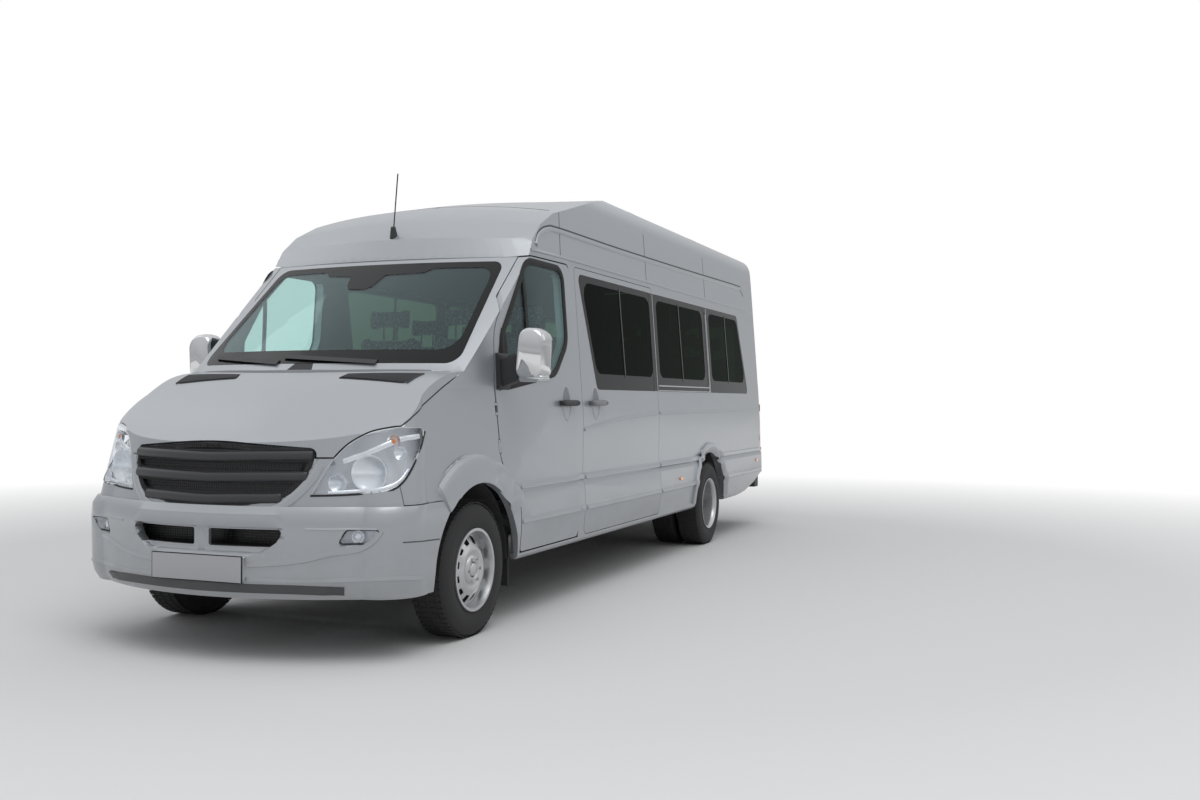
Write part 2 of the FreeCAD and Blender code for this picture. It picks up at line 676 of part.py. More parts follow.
def make_front_bumper():
    """Front bumper with its shelf and air openings."""
    outer = Part.makeLoft([nose_section(height, tip, taper, 997, 0) for height, tip, taper in BUMPER_LEVELS], True, True)
    inner_levels = [(290, 962, 45)] + BUMPER_LEVELS[1:-1] + [(714, 985, 36)]
    inner = Part.makeLoft([nose_section(height, tip, taper, 997, 45) for height, tip, taper in inner_levels], True, True)
    bumper = outer.cut(inner).common(box(60, 1100, -1100, 1100, 250, 750))
    arch = front_arch(0, 500, 1200)
    bumper = bumper.cut([arch, mirrored(arch), OUTER.common(box(-100, 1100, -1100, 1100, 655, 800))])
    deep = Part.makeLoft([nose_section(height, 1004, 30, 997, 28) for height in (250, 800)], True, True)
    recess = slab("yz", RECESS_HALF + [(-y, z, radius) for y, z, radius in RECESS_HALF[::-1]], 700, 1100)
    opening = slab("yz", OPENING, 700, 1100)
    fog = turned_slab(FOG_LAMP, 700, 1500)
    bumper = bumper.cut([recess.cut(deep), opening, mirrored(opening), fog, mirrored(fog)])
    plate = slab("yz", PLATE_SEAT, 940, 1003).cut(inner)
    return max(bumper.Solids, key=lambda piece: piece.Volume).fuse(plate)


def make_front_lamps():
    """Headlamps and fog lamps of both sides."""
    block = OUTER.cut(LAMP_BACK).common(headlamp_region(-mm("seal_gap")))
    block = max(block.Solids, key=lambda piece: piece.Volume)
    outer, inner = [Part.makeLoft([nose_section(height, 1004, 30, 997, inset) for height in (450, 700)], True, True)
                    for inset in (3, 44)]
    fog = turned_slab(grown(FOG_LAMP, -mm("seal_gap")), 700, 1500).common(outer).cut(inner)
    fog = max(fog.Solids, key=lambda piece: piece.Volume)
    return Part.makeCompound([block, mirrored(block), fog, mirrored(fog)])


def make_grille():
    """Grille frame with its slats and mesh backing."""
    zone = SKIN.common(grille_region(-mm("seal_gap")))
    zone = max(zone.Solids, key=lambda piece: piece.Volume)
    frame = zone.cut(grille_region(-24))
    slats = []
    for z in (770, 872, 970):
        slats.append(zone.common(box(700, 1100, -600, 600, z - 27, z + 27)))
    backing = zone.common(GRILLE_BACK)
    return fused([frame] + [max(piece.Solids, key=lambda q: q.Volume) for piece in slats] + [backing])


def make_side_glass():
    """Fixed side panes of both sides."""
    panes = []
    for row in SIDE_WINDOWS:
        pane = GLASS_SKIN.common(side_prism(window_corners(row), -mm("seal_gap")))
        pane = max(pane.Solids, key=lambda piece: piece.Volume)
        panes += [pane, mirrored(pane)]
    return Part.makeCompound(panes)


def make_front_door():
    """Left front door."""
    door = SIDE_ZONE.common(side_prism(FRONT_DOOR)).cut([side_prism(DOOR_WINDOW)] + FRONT_POCKETS)
    door = max(door.Solids, key=lambda piece: piece.Volume)
    return fused([door] + FRONT_KNUCKLES)


def make_door_glass():
    """Left front door's glass."""
    pane = GLASS_SKIN.common(side_prism(DOOR_WINDOW, -mm("seal_gap")))
    return max(pane.Solids, key=lambda piece: piece.Volume)


def make_windscreen():
    """Windscreen."""
    pane = GLASS_SKIN.common(slab("yz", grown(SCREEN_OPENING, -mm("seal_gap")), -1100, 800))
    return max(pane.Solids, key=lambda piece: piece.Volume)


def make_rear_door():
    """Left rear door."""
    zone = OUTER.common(box(BODY_REAR - 10, BODY_REAR + mm("body_wall"), 4, 1100, 0, 3000))
    door = zone.common(rear_prism(REAR_DOOR)).cut(rear_prism(REAR_WINDOW))
    return fused([max(door.Solids, key=lambda piece: piece.Volume)] + REAR_KNUCKLES)


def make_rear_glass():
    """Left rear door's glass."""
    pane = OUTER.common(box(BODY_REAR - 10, BODY_REAR + mm("glass_thickness"), 4, 1100, 0, 3000))
    return pane.common(rear_prism(REAR_WINDOW, -mm("seal_gap")))


def make_roof():
    """High roof with its front cap and gutter."""
    roof = SHELL.common(box(BODY_REAR - 10, 0, -1100, 1100, GUTTER, 3000))
    roof = roof.cut([rear_prism(REAR_DOOR, GAP), mirrored(rear_prism(REAR_DOOR, GAP))])
    return max(roof.Solids, key=lambda piece: piece.Volume)


def make_tail_lamps():
    """Tail lamps in the rear corners."""
    block = SHELL.common(tail_region(mm("seal_gap")))
    return both_sides(max(block.Solids, key=lambda piece: piece.Volume))


def make_floor():
    """Floor pan with the wheelhouses."""
    low = mm("floor_height") - mm("floor_thickness")
    high = mm("floor_height")
    plate = CABIN.common(box(BODY_REAR + 66, -80, -1000, 1000, low, high))
    corners = [box(-490, 100, 500, 1100, 100, 1000), box(-490, 100, -1100, -500, 100, 1000),
               box(-110, 100, -1000, 1000, 0, 999)]
    reach = mm("liner_wall") + 3
    plate = plate.cut(corners + [rear_arch(reach, 480, 1100), mirrored(rear_arch(reach, 480, 1100))])
    parts = [plate]
    for centre, inner, outer in ((-15, 500, 900), (REAR_AXLE - 20, 480, 916.4)):
        liner = wheel_arch_liner(centre, inner, outer)
        parts += [liner, mirrored(liner)]
    return fused(parts)


def wheel_arch_liner(centre_x, y0, y1):
    """Curved liner over a wheel, closed at its inner side."""
    radius = mm("arch_radius") + 3
    wall = mm("liner_wall")
    axis0, axis1 = V(centre_x, y0, mm("tyre_radius")), V(centre_x, y1, mm("tyre_radius"))
    ring = rod(axis0, axis1, radius + wall).cut(rod(axis0, axis1, radius))
    inner = rod(axis0, axis0 + V(0, wall, 0), radius + wall)
    above_axle = box(centre_x - 600, centre_x + 600, y0 - 5, y1 + 5, 480, 1000)
    above_sill = box(centre_x - 600, centre_x + 600, y0 - 5, y1 + 5, mm("sill_height"), 1000)
    liner = ring.common(above_sill).fuse(inner.common(above_axle))
    if centre_x > -1000:
        liner = liner.cut(box(468, 900, 0, 1100, 0, 1200))
    return liner


def role_plane(body, role):
    """One of a body's own origin planes."""
    return next(feature for feature in body.Origin.OriginFeatures if feature.Role == role)


def as_number(expression):
    """Value of a sheet expression, for the first placing of a sketch's points."""
    names = {alias: mm(alias) for alias, _, _ in DRIVING_SIZES}
    text = expression.replace("Sizes.", "")
    total = 0.0
    for term in text.replace("-", "+-").split("+"):
        term = term.strip()
        if not term:
            continue
        sign = -1.0 if term.startswith("-") else 1.0
        value = sign
        for factor in term.lstrip("-").split("*"):
            factor = factor.strip()
            top, _, bottom = factor.partition("/")
            value *= names.get(top.strip(), None) or float(top)
            value /= float(bottom) if bottom else 1.0
        total += value
    return total


def bound_profile(body, name, role, corners):
    """Closed sketch whose corners (across, up) are sheet expressions."""
    sketch = body.newObject("Sketcher::SketchObject", name)
    sketch.AttachmentSupport = (role_plane(body, role), [""])
    sketch.MapMode = "FlatFace"
    numbers = [(as_number(across), as_number(up)) for across, up in corners]
    count = len(corners)
    for i, (across, up) in enumerate(numbers):
        after = numbers[(i + 1) % count]
        sketch.addGeometry(Part.LineSegment(V(across, up, 0), V(after[0], after[1], 0)), False)
    for i in range(count):
        sketch.addConstraint(Sketcher.Constraint("Coincident", i, 2, (i + 1) % count, 1))
    for i, (across, up) in enumerate(corners):
        for kind, text, value in (("DistanceX", across, numbers[i][0]), ("DistanceY", up, numbers[i][1])):
            index = sketch.addConstraint(Sketcher.Constraint(kind, -1, 1, i, 1, value))
            sketch.setExpression(f"Constraints[{index}]", text)
    return sketch


def turned_body(name, corners):
    """Body of revolution about y from a profile of (radius, y) expressions."""
    body = DOC.addObject("PartDesign::Body", name)
    sketch = bound_profile(body, name + "_profile", "XY_Plane", corners)
    turn = body.newObject("PartDesign::Revolution", name + "_turn")
    turn.Profile = sketch
    turn.ReferenceAxis = (sketch, ["V_Axis"])
    turn.Angle = 360
    DOC.recompute()
    return body


def padded_body(name, role, corners, length):
    """Body padded from a profile of expressions, to a length given as an expression."""
    body = DOC.addObject("PartDesign::Body", name)
    sketch = bound_profile(body, name + "_profile", role, corners)
    pad = body.newObject("PartDesign::Pad", name + "_pad")
    pad.Profile = sketch
    pad.setExpression("Length", length)
    pad.Midplane = True
    DOC.recompute()
    return body


def bound_box(name, x, y, z):
    """Part box between (low, high) expressions on each axis."""
    block = DOC.addObject("Part::Box", name)
    for size, place, (low, high) in (("Length", "x", x), ("Width", "y", y), ("Height", "z", z)):
        block.setExpression(size, f"({high}) - ({low})")
        block.setExpression(f".Placement.Base.{place}", low)
    return block


def bound_rod(name, radius, length, base, axis="y"):
    """Part cylinder along an axis, from a base point of expressions."""
    bar = DOC.addObject("Part::Cylinder", name)
    bar.setExpression("Radius", radius)
    bar.setExpression("Height", length)
    turn = {"y": FreeCAD.Rotation(V(1, 0, 0), -90), "x": FreeCAD.Rotation(V(0, 1, 0), 90), "z": FreeCAD.Rotation()}
    bar.Placement = FreeCAD.Placement(V(0, 0, 0), turn[axis])
    for place, text in zip("xyz", base):
        bar.setExpression(f".Placement.Base.{place}", text)
    return bar


def joined(name, pieces):
    """Part fusion of objects, registered as a sub-part."""
    union = DOC.addObject("Part::MultiFuse", name)
    union.Shapes = pieces
    union.Refine = True
    DOC.recompute()
    register(union, name)
    return union


def grouped(name, pieces):
    """Part compound of objects that don't touch, registered as a sub-part."""
    group = DOC.addObject("Part::Compound", name)
    group.Links = pieces
    DOC.recompute()
    register(group, name)
    return group


def pair(name, maker):
    """Left piece and its mirror image, as two sub-parts."""
    shape = maker()
    add(name + "_left", shape)
    add(name + "_right", mirrored(shape))


TYRE_PROFILE = [
    ("Sizes.rim_radius - 11", "Sizes.tyre_width/2 - 16.5"), ("Sizes.rim_radius + 1", "Sizes.tyre_width/2 - 10"),
    ("Sizes.rim_radius + 46", "Sizes.tyre_width/2"), ("Sizes.rim_radius + 86", "Sizes.tyre_width/2 - 1"),
    ("Sizes.tyre_radius - 16", "Sizes.tyre_width/2 - 13"), ("Sizes.tyre_radius", "Sizes.tyre_width/2 - 34"),
]


def tyre_corners(shift):
    """Both sides of a tyre's profile, its middle moved along the axle by shift."""
    outer = [(radius, f"{shift} + {side}") for radius, side in TYRE_PROFILE]
    inner = [(radius, f"{shift} - Sizes.tyre_width/2 {side.replace('Sizes.tyre_width/2', '').replace('-', '+')}")
             for radius, side in reversed(TYRE_PROFILE)]
    return outer + inner


FRONT_RIM_PROFILE = [
    ("Sizes.stub_radius + Sizes.running_fit", "Sizes.tyre_width/2 - 40"), ("62", "Sizes.tyre_width/2 - 40"),
    ("70", "Sizes.tyre_width/2 - 22"), ("104", "Sizes.tyre_width/2 - 16"), ("150", "Sizes.tyre_width/2 - 34"),
    ("178", "Sizes.tyre_width/2 - 62"), ("Sizes.rim_radius - 24", "Sizes.tyre_width/2 - 62"),
    ("Sizes.rim_radius - 20", "Sizes.tyre_width/2 - 12"), ("Sizes.rim_radius - 4", "Sizes.tyre_width/2"),
    ("Sizes.rim_radius", "Sizes.tyre_width/2 - 2"), ("Sizes.rim_radius", "Sizes.tyre_width/2 - 9.5"),
    ("Sizes.rim_radius - 11.3", "Sizes.tyre_width/2 - 16"),
    ("Sizes.rim_radius - 11.3", "16 - Sizes.tyre_width/2"),
    ("Sizes.rim_radius", "9.5 - Sizes.tyre_width/2"), ("Sizes.rim_radius", "2 - Sizes.tyre_width/2"),
    ("Sizes.rim_radius - 20", "4 - Sizes.tyre_width/2"), ("Sizes.rim_radius - 24", "Sizes.tyre_width/2 - 72"),
    ("174", "Sizes.tyre_width/2 - 72"), ("148", "Sizes.tyre_width/2 - 46"), ("104", "Sizes.tyre_width/2 - 28"),
    ("84", "Sizes.tyre_width/2 - 32"), ("76", "Sizes.tyre_width/2 - 62"), ("76", "Sizes.tyre_width/2 - 110"),
    ("Sizes.stub_radius + Sizes.running_fit", "Sizes.tyre_width/2 - 110"),
]


def place_wheel(body, name, across, along, flipped):
    """Seat a wheel body at its axle, turned about for the right side."""
    if flipped:
        body.Placement = FreeCAD.Placement(V(0, 0, 0), FreeCAD.Rotation(V(0, 0, 1), 180))
    register(body, name, extra=(along, across, "Sizes.tyre_radius"))


def make_front_wheels():
    """Rim and tyre of each front wheel."""
    for side, sign in (("left", ""), ("right", "-")):
        rim = turned_body("front_rim_" + side, FRONT_RIM_PROFILE)
        place_wheel(rim, "front_rim_" + side, sign + "Sizes.front_track_half", "0", bool(sign))
        tyre = turned_body("front_tyre_" + side, tyre_corners("0"))
        place_wheel(tyre, "front_tyre_" + side, sign + "Sizes.front_track_half", "0", bool(sign))


# rear twin rims: outer wheel's middle at 0, inner one a spacing inboard, both discs in between
REAR_RIM_PROFILE = [
    ("Sizes.stub_radius + Sizes.running_fit", "22 - Sizes.twin_spacing/2"), ("66", "22 - Sizes.twin_spacing/2"),
    ("66", "14 - Sizes.twin_spacing/2"), ("120", "12 - Sizes.twin_spacing/2"), ("160", "26 - Sizes.twin_spacing/2"),
    ("Sizes.rim_radius - 24", "30 - Sizes.twin_spacing/2"),
    ("Sizes.rim_radius - 20", "Sizes.tyre_width/2 - 12"), ("Sizes.rim_radius - 4", "Sizes.tyre_width/2"),
    ("Sizes.rim_radius", "Sizes.tyre_width/2 - 2"), ("Sizes.rim_radius", "Sizes.tyre_width/2 - 9.5"),
    ("Sizes.rim_radius - 11.3", "Sizes.tyre_width/2 - 16"),
    ("Sizes.rim_radius - 11.3", "16 - Sizes.tyre_width/2"), ("Sizes.rim_radius", "9.5 - Sizes.tyre_width/2"),
    ("Sizes.rim_radius", "2 - Sizes.tyre_width/2"), ("Sizes.rim_radius - 19", "2 - Sizes.tyre_width/2"),
    ("Sizes.rim_radius - 19", "6 - Sizes.twin_spacing/2"), ("160", "2 - Sizes.twin_spacing/2"),
    ("160", "-2 - Sizes.twin_spacing/2"), ("Sizes.rim_radius - 19", "-6 - Sizes.twin_spacing/2"),
    ("Sizes.rim_radius - 19", "Sizes.tyre_width/2 - 2 - Sizes.twin_spacing"),
    ("Sizes.rim_radius", "Sizes.tyre_width/2 - 2 - Sizes.twin_spacing"),
    ("Sizes.rim_radius", "Sizes.tyre_width/2 - 9.5 - Sizes.twin_spacing"),
    ("Sizes.rim_radius - 11.3", "Sizes.tyre_width/2 - 16 - Sizes.twin_spacing"),
    ("Sizes.rim_radius - 11.3", "16 - Sizes.tyre_width/2 - Sizes.twin_spacing"),
    ("Sizes.rim_radius", "9.5 - Sizes.tyre_width/2 - Sizes.twin_spacing"),
    ("Sizes.rim_radius", "2 - Sizes.tyre_width/2 - Sizes.twin_spacing"),
    ("Sizes.rim_radius - 20", "4 - Sizes.tyre_width/2 - Sizes.twin_spacing"),
    ("Sizes.rim_radius - 24", "-30 - Sizes.twin_spacing/2"), ("160", "-26 - Sizes.twin_spacing/2"),
    ("120", "-12 - Sizes.twin_spacing/2"), ("100", "-50 - Sizes.twin_spacing/2"),
    ("Sizes.stub_radius + Sizes.running_fit", "-50 - Sizes.twin_spacing/2"),
]


def make_rear_wheels():
    """Twin rims and twin tyres of each side."""
    for side, sign in (("left", ""), ("right", "-")):
        rims = turned_body("rear_rims_" + side, REAR_RIM_PROFILE)
        place_wheel(rims, "rear_rims_" + side, sign + "Sizes.rear_outer_half", "-Sizes.wheelbase", bool(sign))
        tyres = [turned_body(f"rear_tyre_{side}_{place}", tyre_corners(shift))
                 for place, shift in (("outer", "0"), ("inner", "-Sizes.twin_spacing"))]
        twin = DOC.addObject("Part::Compound", "rear_tyres_" + side)
        twin.Links = tyres
        DOC.recompute()
        place_wheel(twin, "rear_tyres_" + side, sign + "Sizes.rear_outer_half", "-Sizes.wheelbase", bool(sign))


RAIL_IN = "Sizes.rail_half - Sizes.rail_width/2"
RAIL_OUT = "Sizes.rail_half + Sizes.rail_width/2"
RAIL_TOP = "Sizes.floor_height - Sizes.floor_thickness"
RAIL_LOW = "Sizes.floor_height - Sizes.floor_thickness - Sizes.rail_depth"
JACK_PADS = ["-840", "-3140"]      # middles of the jack pads along the rails
CROSSMEMBERS = ["690", "-330", "-1850", "-2950", "-3600", "-5180"]


def make_chassis():
    """Ladder frame under the floor."""
    rails = [
        bound_box("rail_left", ("-Sizes.wheelbase - Sizes.rear_overhang + 220", "780"), (RAIL_IN, RAIL_OUT),
                  (RAIL_LOW, RAIL_TOP)),
        bound_box("rail_right", ("-Sizes.wheelbase - Sizes.rear_overhang + 220", "780"),
                  ("-(" + RAIL_OUT + ")", "-(" + RAIL_IN + ")"), (RAIL_LOW, RAIL_TOP)),
    ]
    for number, place in enumerate(CROSSMEMBERS + ["-Sizes.wheelbase - Sizes.rear_overhang + 220"]):
        rails.append(bound_box(f"crossmember_{number}", (place, place + " + 60"),
                               ("-(" + RAIL_IN + ")", RAIL_IN), (RAIL_TOP + " - 70", RAIL_TOP)))
    for number, (place, side) in enumerate([(place, side) for place in JACK_PADS for side in (1, -1)]):
        low, high = (RAIL_IN, RAIL_OUT) if side > 0 else ("-(" + RAIL_OUT + ")", "-(" + RAIL_IN + ")")
        rails.append(bound_box(f"jack_pad_{number}", (place + " - 60", place + " + 60"), (low, high),
                               (RAIL_LOW + " - Sizes.jack_pad_depth", RAIL_LOW)))
    joined("chassis_rails", rails)


def make_front_subframe():
    """Crossbeam under the engine, with the yokes that hold the kingpins."""
    pieces = [bound_box("front_beam", ("-60", "60"), ("-Sizes.kingpin_half + 120", "Sizes.kingpin_half - 120"),
                        ("300", "380"))]
    for side, sign in (("left", 1), ("right", -1)):
        def span(low, high):
            return (low, high) if sign > 0 else (f"-({high})", f"-({low})")
        pieces.append(bound_box("tower_" + side, ("-60", "60"), span("Sizes.rail_half - 38", "Sizes.rail_half + 38"),
                                ("380", RAIL_LOW)))
        pieces.append(bound_box("spring_leg_" + side, ("-30", "30"),
                                span("Sizes.kingpin_half - 140", "Sizes.kingpin_half - 80"), ("205", "495")))
        for level, low, high in (("low", "205", "235"), ("high", "465", "495")):
            pieces.append(bound_box(f"arm_{level}_{side}", ("-30", "30"),
                                    span("Sizes.kingpin_half - 140", "Sizes.kingpin_half"), (low, high)))
            pieces.append(bound_rod(f"eye_{level}_{side}", "30", "30",
                                    ("0", ("" if sign > 0 else "-") + "Sizes.kingpin_half", low), "z"))
        pieces.append(bound_rod("kingpin_" + side, "Sizes.pin_radius", "290",
                                ("0", ("" if sign > 0 else "-") + "Sizes.kingpin_half", "205"), "z"))
    joined("front_subframe", pieces)


def make_knuckles():
    """Steering knuckle of each front wheel with its stub axle."""
    for side, sign in (("left", 1), ("right", -1)):
        mark = "" if sign > 0 else "-"
        upright = bound_rod("upright_" + side, "27", "228", ("0", mark + "Sizes.kingpin_half", "236"), "z")
        hub = bound_rod("carrier_" + side, "48", "26",
                        ("0", mark + "Sizes.kingpin_half - 13", "Sizes.tyre_radius"))
        reach = "Sizes.front_track_half + Sizes.tyre_width/2 - 42 - Sizes.kingpin_half"
        start = "Sizes.kingpin_half" if sign > 0 else "-Sizes.front_track_half - Sizes.tyre_width/2 + 42"
        stub = bound_rod("stub_" + side, "Sizes.stub_radius", reach, ("0", start, "Sizes.tyre_radius"))
        union = DOC.addObject("Part::MultiFuse", "knuckle_blank_" + side)
        union.Shapes = [upright, hub, stub]
        bore = bound_rod("kingpin_bore_" + side, "Sizes.pin_radius + Sizes.running_fit", "400",
                         ("0", mark + "Sizes.kingpin_half", "150"), "z")
        knuckle = DOC.addObject("Part::Cut", "knuckle_" + side)
        knuckle.Base = union
        knuckle.Tool = bore
        DOC.recompute()
        register(knuckle, "knuckle_" + side)


def make_rear_axle():
    """Beam axle with its differential and leaf springs."""
    axle = "-Sizes.wheelbase"
    hub_in = "Sizes.rear_outer_half - Sizes.twin_spacing/2 - 52"
    tube = bound_rod("axle_tube", "55", f"2 * ({hub_in})", (axle, f"-({hub_in})", "Sizes.tyre_radius"))
    spindle = bound_rod("axle_spindle", "Sizes.stub_radius", f"2 * ({hub_in} + 70)",
                        (axle, f"-({hub_in} + 70)", "Sizes.tyre_radius"))
    differential = DOC.addObject("Part::Sphere", "differential")
    differential.Radius = 135
    differential.setExpression(".Placement.Base.x", axle)
    differential.setExpression(".Placement.Base.z", "Sizes.tyre_radius")
    pieces = [tube, spindle, differential]
    for side, sign in (("left", 1), ("right", -1)):
        spring = padded_body("spring_" + side, "XZ_Plane", [
            ("-Sizes.wheelbase - 700", RAIL_LOW), ("-Sizes.wheelbase - 620", RAIL_LOW),
            ("-Sizes.wheelbase - 600", "390"), ("-Sizes.wheelbase - 120", "296"), ("-Sizes.wheelbase + 120", "296"),
            ("-Sizes.wheelbase + 600", "390"), ("-Sizes.wheelbase + 620", RAIL_LOW),
            ("-Sizes.wheelbase + 700", RAIL_LOW), ("-Sizes.wheelbase + 660", "356"),
            ("-Sizes.wheelbase + 120", "256"), ("-Sizes.wheelbase - 120", "256"), ("-Sizes.wheelbase - 660", "356"),
        ], "Sizes.rail_width - 10")
        spring.setExpression(".Placement.Base.y", ("" if sign > 0 else "-") + "Sizes.rail_half")
        pieces.append(spring)
    joined("rear_axle", pieces)


def make_engine():
    """Engine as one plain block on the front subframe."""
    block = bound_box("engine_block", ("-40", "560"), ("-250", "250"), ("380", "860"))
    cover = bound_box("engine_cover", ("0", "520"), ("-150", "150"), ("860", "975"))
    joined("engine", [block, cover])


def make_radiator():
    """Radiator between the rails' front ends."""
    core = bound_box("radiator_core", ("700", "735"), ("-(" + RAIL_IN + ")", RAIL_IN), (RAIL_TOP, "930"))
    grouped("radiator", [core])


def make_exhaust():
    """Exhaust pipe and silencer beside the right rail."""
    middle = "-Sizes.rail_half + Sizes.rail_width/2 + 86"
    pipe = bound_rod("exhaust_pipe", "27", "Sizes.wheelbase + 1500", ("-Sizes.wheelbase - 1560", middle, "440"), "x")
    silencer = bound_rod("silencer", "86", "700", ("-2700", middle, "440"), "x")
    inner_face = "-Sizes.rail_half + Sizes.rail_width/2"
    hangers = [bound_box(f"hanger_{number}", (x, x + " + 30"), (inner_face, inner_face + " + 60"), ("490", "510"))
               for number, x in enumerate(("-2640", "-2100"))]
    joined("exhaust", [pipe, silencer] + hangers)


def make_fuel_tank():
    """Fuel tank on the outer side of the left rail."""
    tank = bound_box("tank", ("-2350", "-1500"), (RAIL_OUT, "Sizes.rail_half + 405"), ("365", "565"))
    grouped("fuel_tank", [tank])


def make_mud_flaps():
    """Mud flaps behind the four wheel positions."""
    front = "-15 - Sizes.arch_radius - 3 - Sizes.liner_wall"
    rear = "-Sizes.wheelbase - 20 - Sizes.arch_radius - 3 - Sizes.liner_wall"
    flaps = []
    for side, sign in (("left", 1), ("right", -1)):
        for place, seat, low, high in (("front", front, "765", "905"), ("rear", rear, "560", "905")):
            y = (low, high) if sign > 0 else ("-" + high, "-" + low)
            flaps.append(bound_box(f"flap_{place}_{side}", (seat + " - 8", seat), y, ("190", "520")))
    grouped("mud_flaps", flaps)


def make_rear_bumper():
    """Rear bumper with its step."""
    back = BODY_REAR - mm("rear_step")
    corners = [(back + 220, -925, 20), (back + 220, 925, 20), (back, 925, 90), (back, -925, 90)]
    return slab("xy", corners, 370, 500).cut(box(back + 60, back + 230, -380, 380, 360, 510))


# steering wheel: where its column ends, and the column's direction
WHEEL_AT = V(-590, -420, 1165)
WHEEL_AXIS = V(-0.82, 0, 0.572)


def make_dashboard():
    """Dashboard with the steering column."""
    profile = [(-110, 1330, 0), (-110, 880, 0), (-300, 880, 30), (-400, 1040, 60), (-470, 1150, 60), (-430, 1275, 50),
               (-260, 1340, 40)]
    body = slab("xz", profile, -799.7, 799.7)
    pin = rod(WHEEL_AT - WHEEL_AXIS * 10, WHEEL_AT + WHEEL_AXIS * 28, 9)
    column = rod(WHEEL_AT - WHEEL_AXIS * 260, WHEEL_AT - WHEEL_AXIS * 1, 26)
    return fused([body, column, pin])


def make_steering_wheel():
    """Steering wheel with its rim, hub and three spokes, square to its column."""
    radius = mm("steering_wheel_radius")
    ring = Part.makeTorus(radius, 15, WHEEL_AT + WHEEL_AXIS * 45, WHEEL_AXIS)
    hub = rod(WHEEL_AT, WHEEL_AT + WHEEL_AXIS * 40, 55)
    spokes = []
    across = V(0, 1, 0)
    up = WHEEL_AXIS.cross(across)
    for direction in (across, across * -1, up * (1 if up.z < 0 else -1)):
        spokes.append(rod(WHEEL_AT + WHEEL_AXIS * 25, WHEEL_AT + WHEEL_AXIS * 45 + direction * radius, 11))
    bore = rod(WHEEL_AT - WHEEL_AXIS * 5, WHEEL_AT + WHEEL_AXIS * 30, 9 + mm("running_fit"))
    return fused([ring, hub] + spokes).cut(bore)


# passenger seat from the side: distance back from its front edge, height above the floor
SEAT_SIDE = [
    (0, 0, 0), (40, 300, 20), (-20, 330, 20), (-20, 430, 40), (400, 400, 40), (500, 1060, 40), (500, 1220, 40),
    (590, 1220, 40), (590, 1060, 40), (520, 380, 60), (470, 300, 20), (430, 300, 20), (390, 0, 0),
]


def seat_solid(front, middle, width, base):
    """One seat: its side outline across its width."""
    corners = [(front - back, base + height, radius) for back, height, radius in SEAT_SIDE]
    return slab("xz", corners, middle - width / 2, middle + width / 2)


def make_cab_seats():
    """Driver's seat and the double passenger seat."""
    floor = mm("floor_height")
    seats = []
    for front, middle, width in ((-830, WHEEL_AT.y, 500), (-760, 170, 430), (-760, 610, 430)):
        seats.append(seat_solid(front, middle, width, floor))
    return Part.makeCompound(seats)


def make_passenger_seats():
    """Rows of seats behind the cab, two on the left and one on the right, the last row of four."""
    floor = mm("floor_height")
    width = mm("seat_width")
    rows = int(mm("seat_rows"))
    arch = rear_arch(mm("liner_wall") + 3 + 1, 470, 1100)
    seats = []
    for row in range(rows):
        front = -1700 - row * mm("seat_pitch")
        middles = (-636, 212, 636) if row < rows - 1 else (-636, -212, 212, 636)
        for middle in middles:
            seats.append(seat_solid(front, middle, width, floor).cut([arch, mirrored(arch)]))
    return Part.makeCompound([max(seat.Solids, key=lambda piece: piece.Volume) for seat in seats])


def make_wipers():
    """Two wipers lying on the windscreen."""
    layer = WIPER_LAYER
    wipers = []
    for pivot, tip in ((V(0, 430, 1440), V(0, -150, 1475)), (V(0, -170, 1440), V(0, -720, 1480))):
        along = (tip - pivot).normalize()
        across = V(0, -along.z, along.y) * 11
        corners = [pivot + across, pivot - across, tip - across, tip + across]
        strip = slab("yz", [(c.y, c.z, 0) for c in corners], -400, 500)
        wipers.append(max(layer.common(strip).Solids, key=lambda piece: piece.Volume))
    return Part.makeCompound(wipers)


def make_antenna():
    """Roof antenna at the front of the cap."""
    foot = V(-745, 0, 2180)
    base = Part.makeCone(34, 14, 120, foot, V(0.15, 0, 1)).cut(OUTER)
    base = max(base.Solids, key=lambda piece: piece.Volume)
    mast = rod(foot + V(12, 0, 100), foot + V(-35, 0, 452), 4)
    return fused([base, mast])


def make_mirror():
    """Left door mirror on its arm."""
    corners = [(1012, 1335, 50), (1205, 1325, 70), (1215, 1640, 80), (1040, 1652, 60)]
    housing = slab("yz", corners, -440, -305)
    arm = slab("yz", [(900, 1340, 0), (1020, 1365, 10), (1020, 1440, 10), (890, 1440, 0)], -400, -345)
    arm = max(arm.cut(OUTER).Solids, key=lambda piece: piece.Volume)
    return fused([housing, arm])


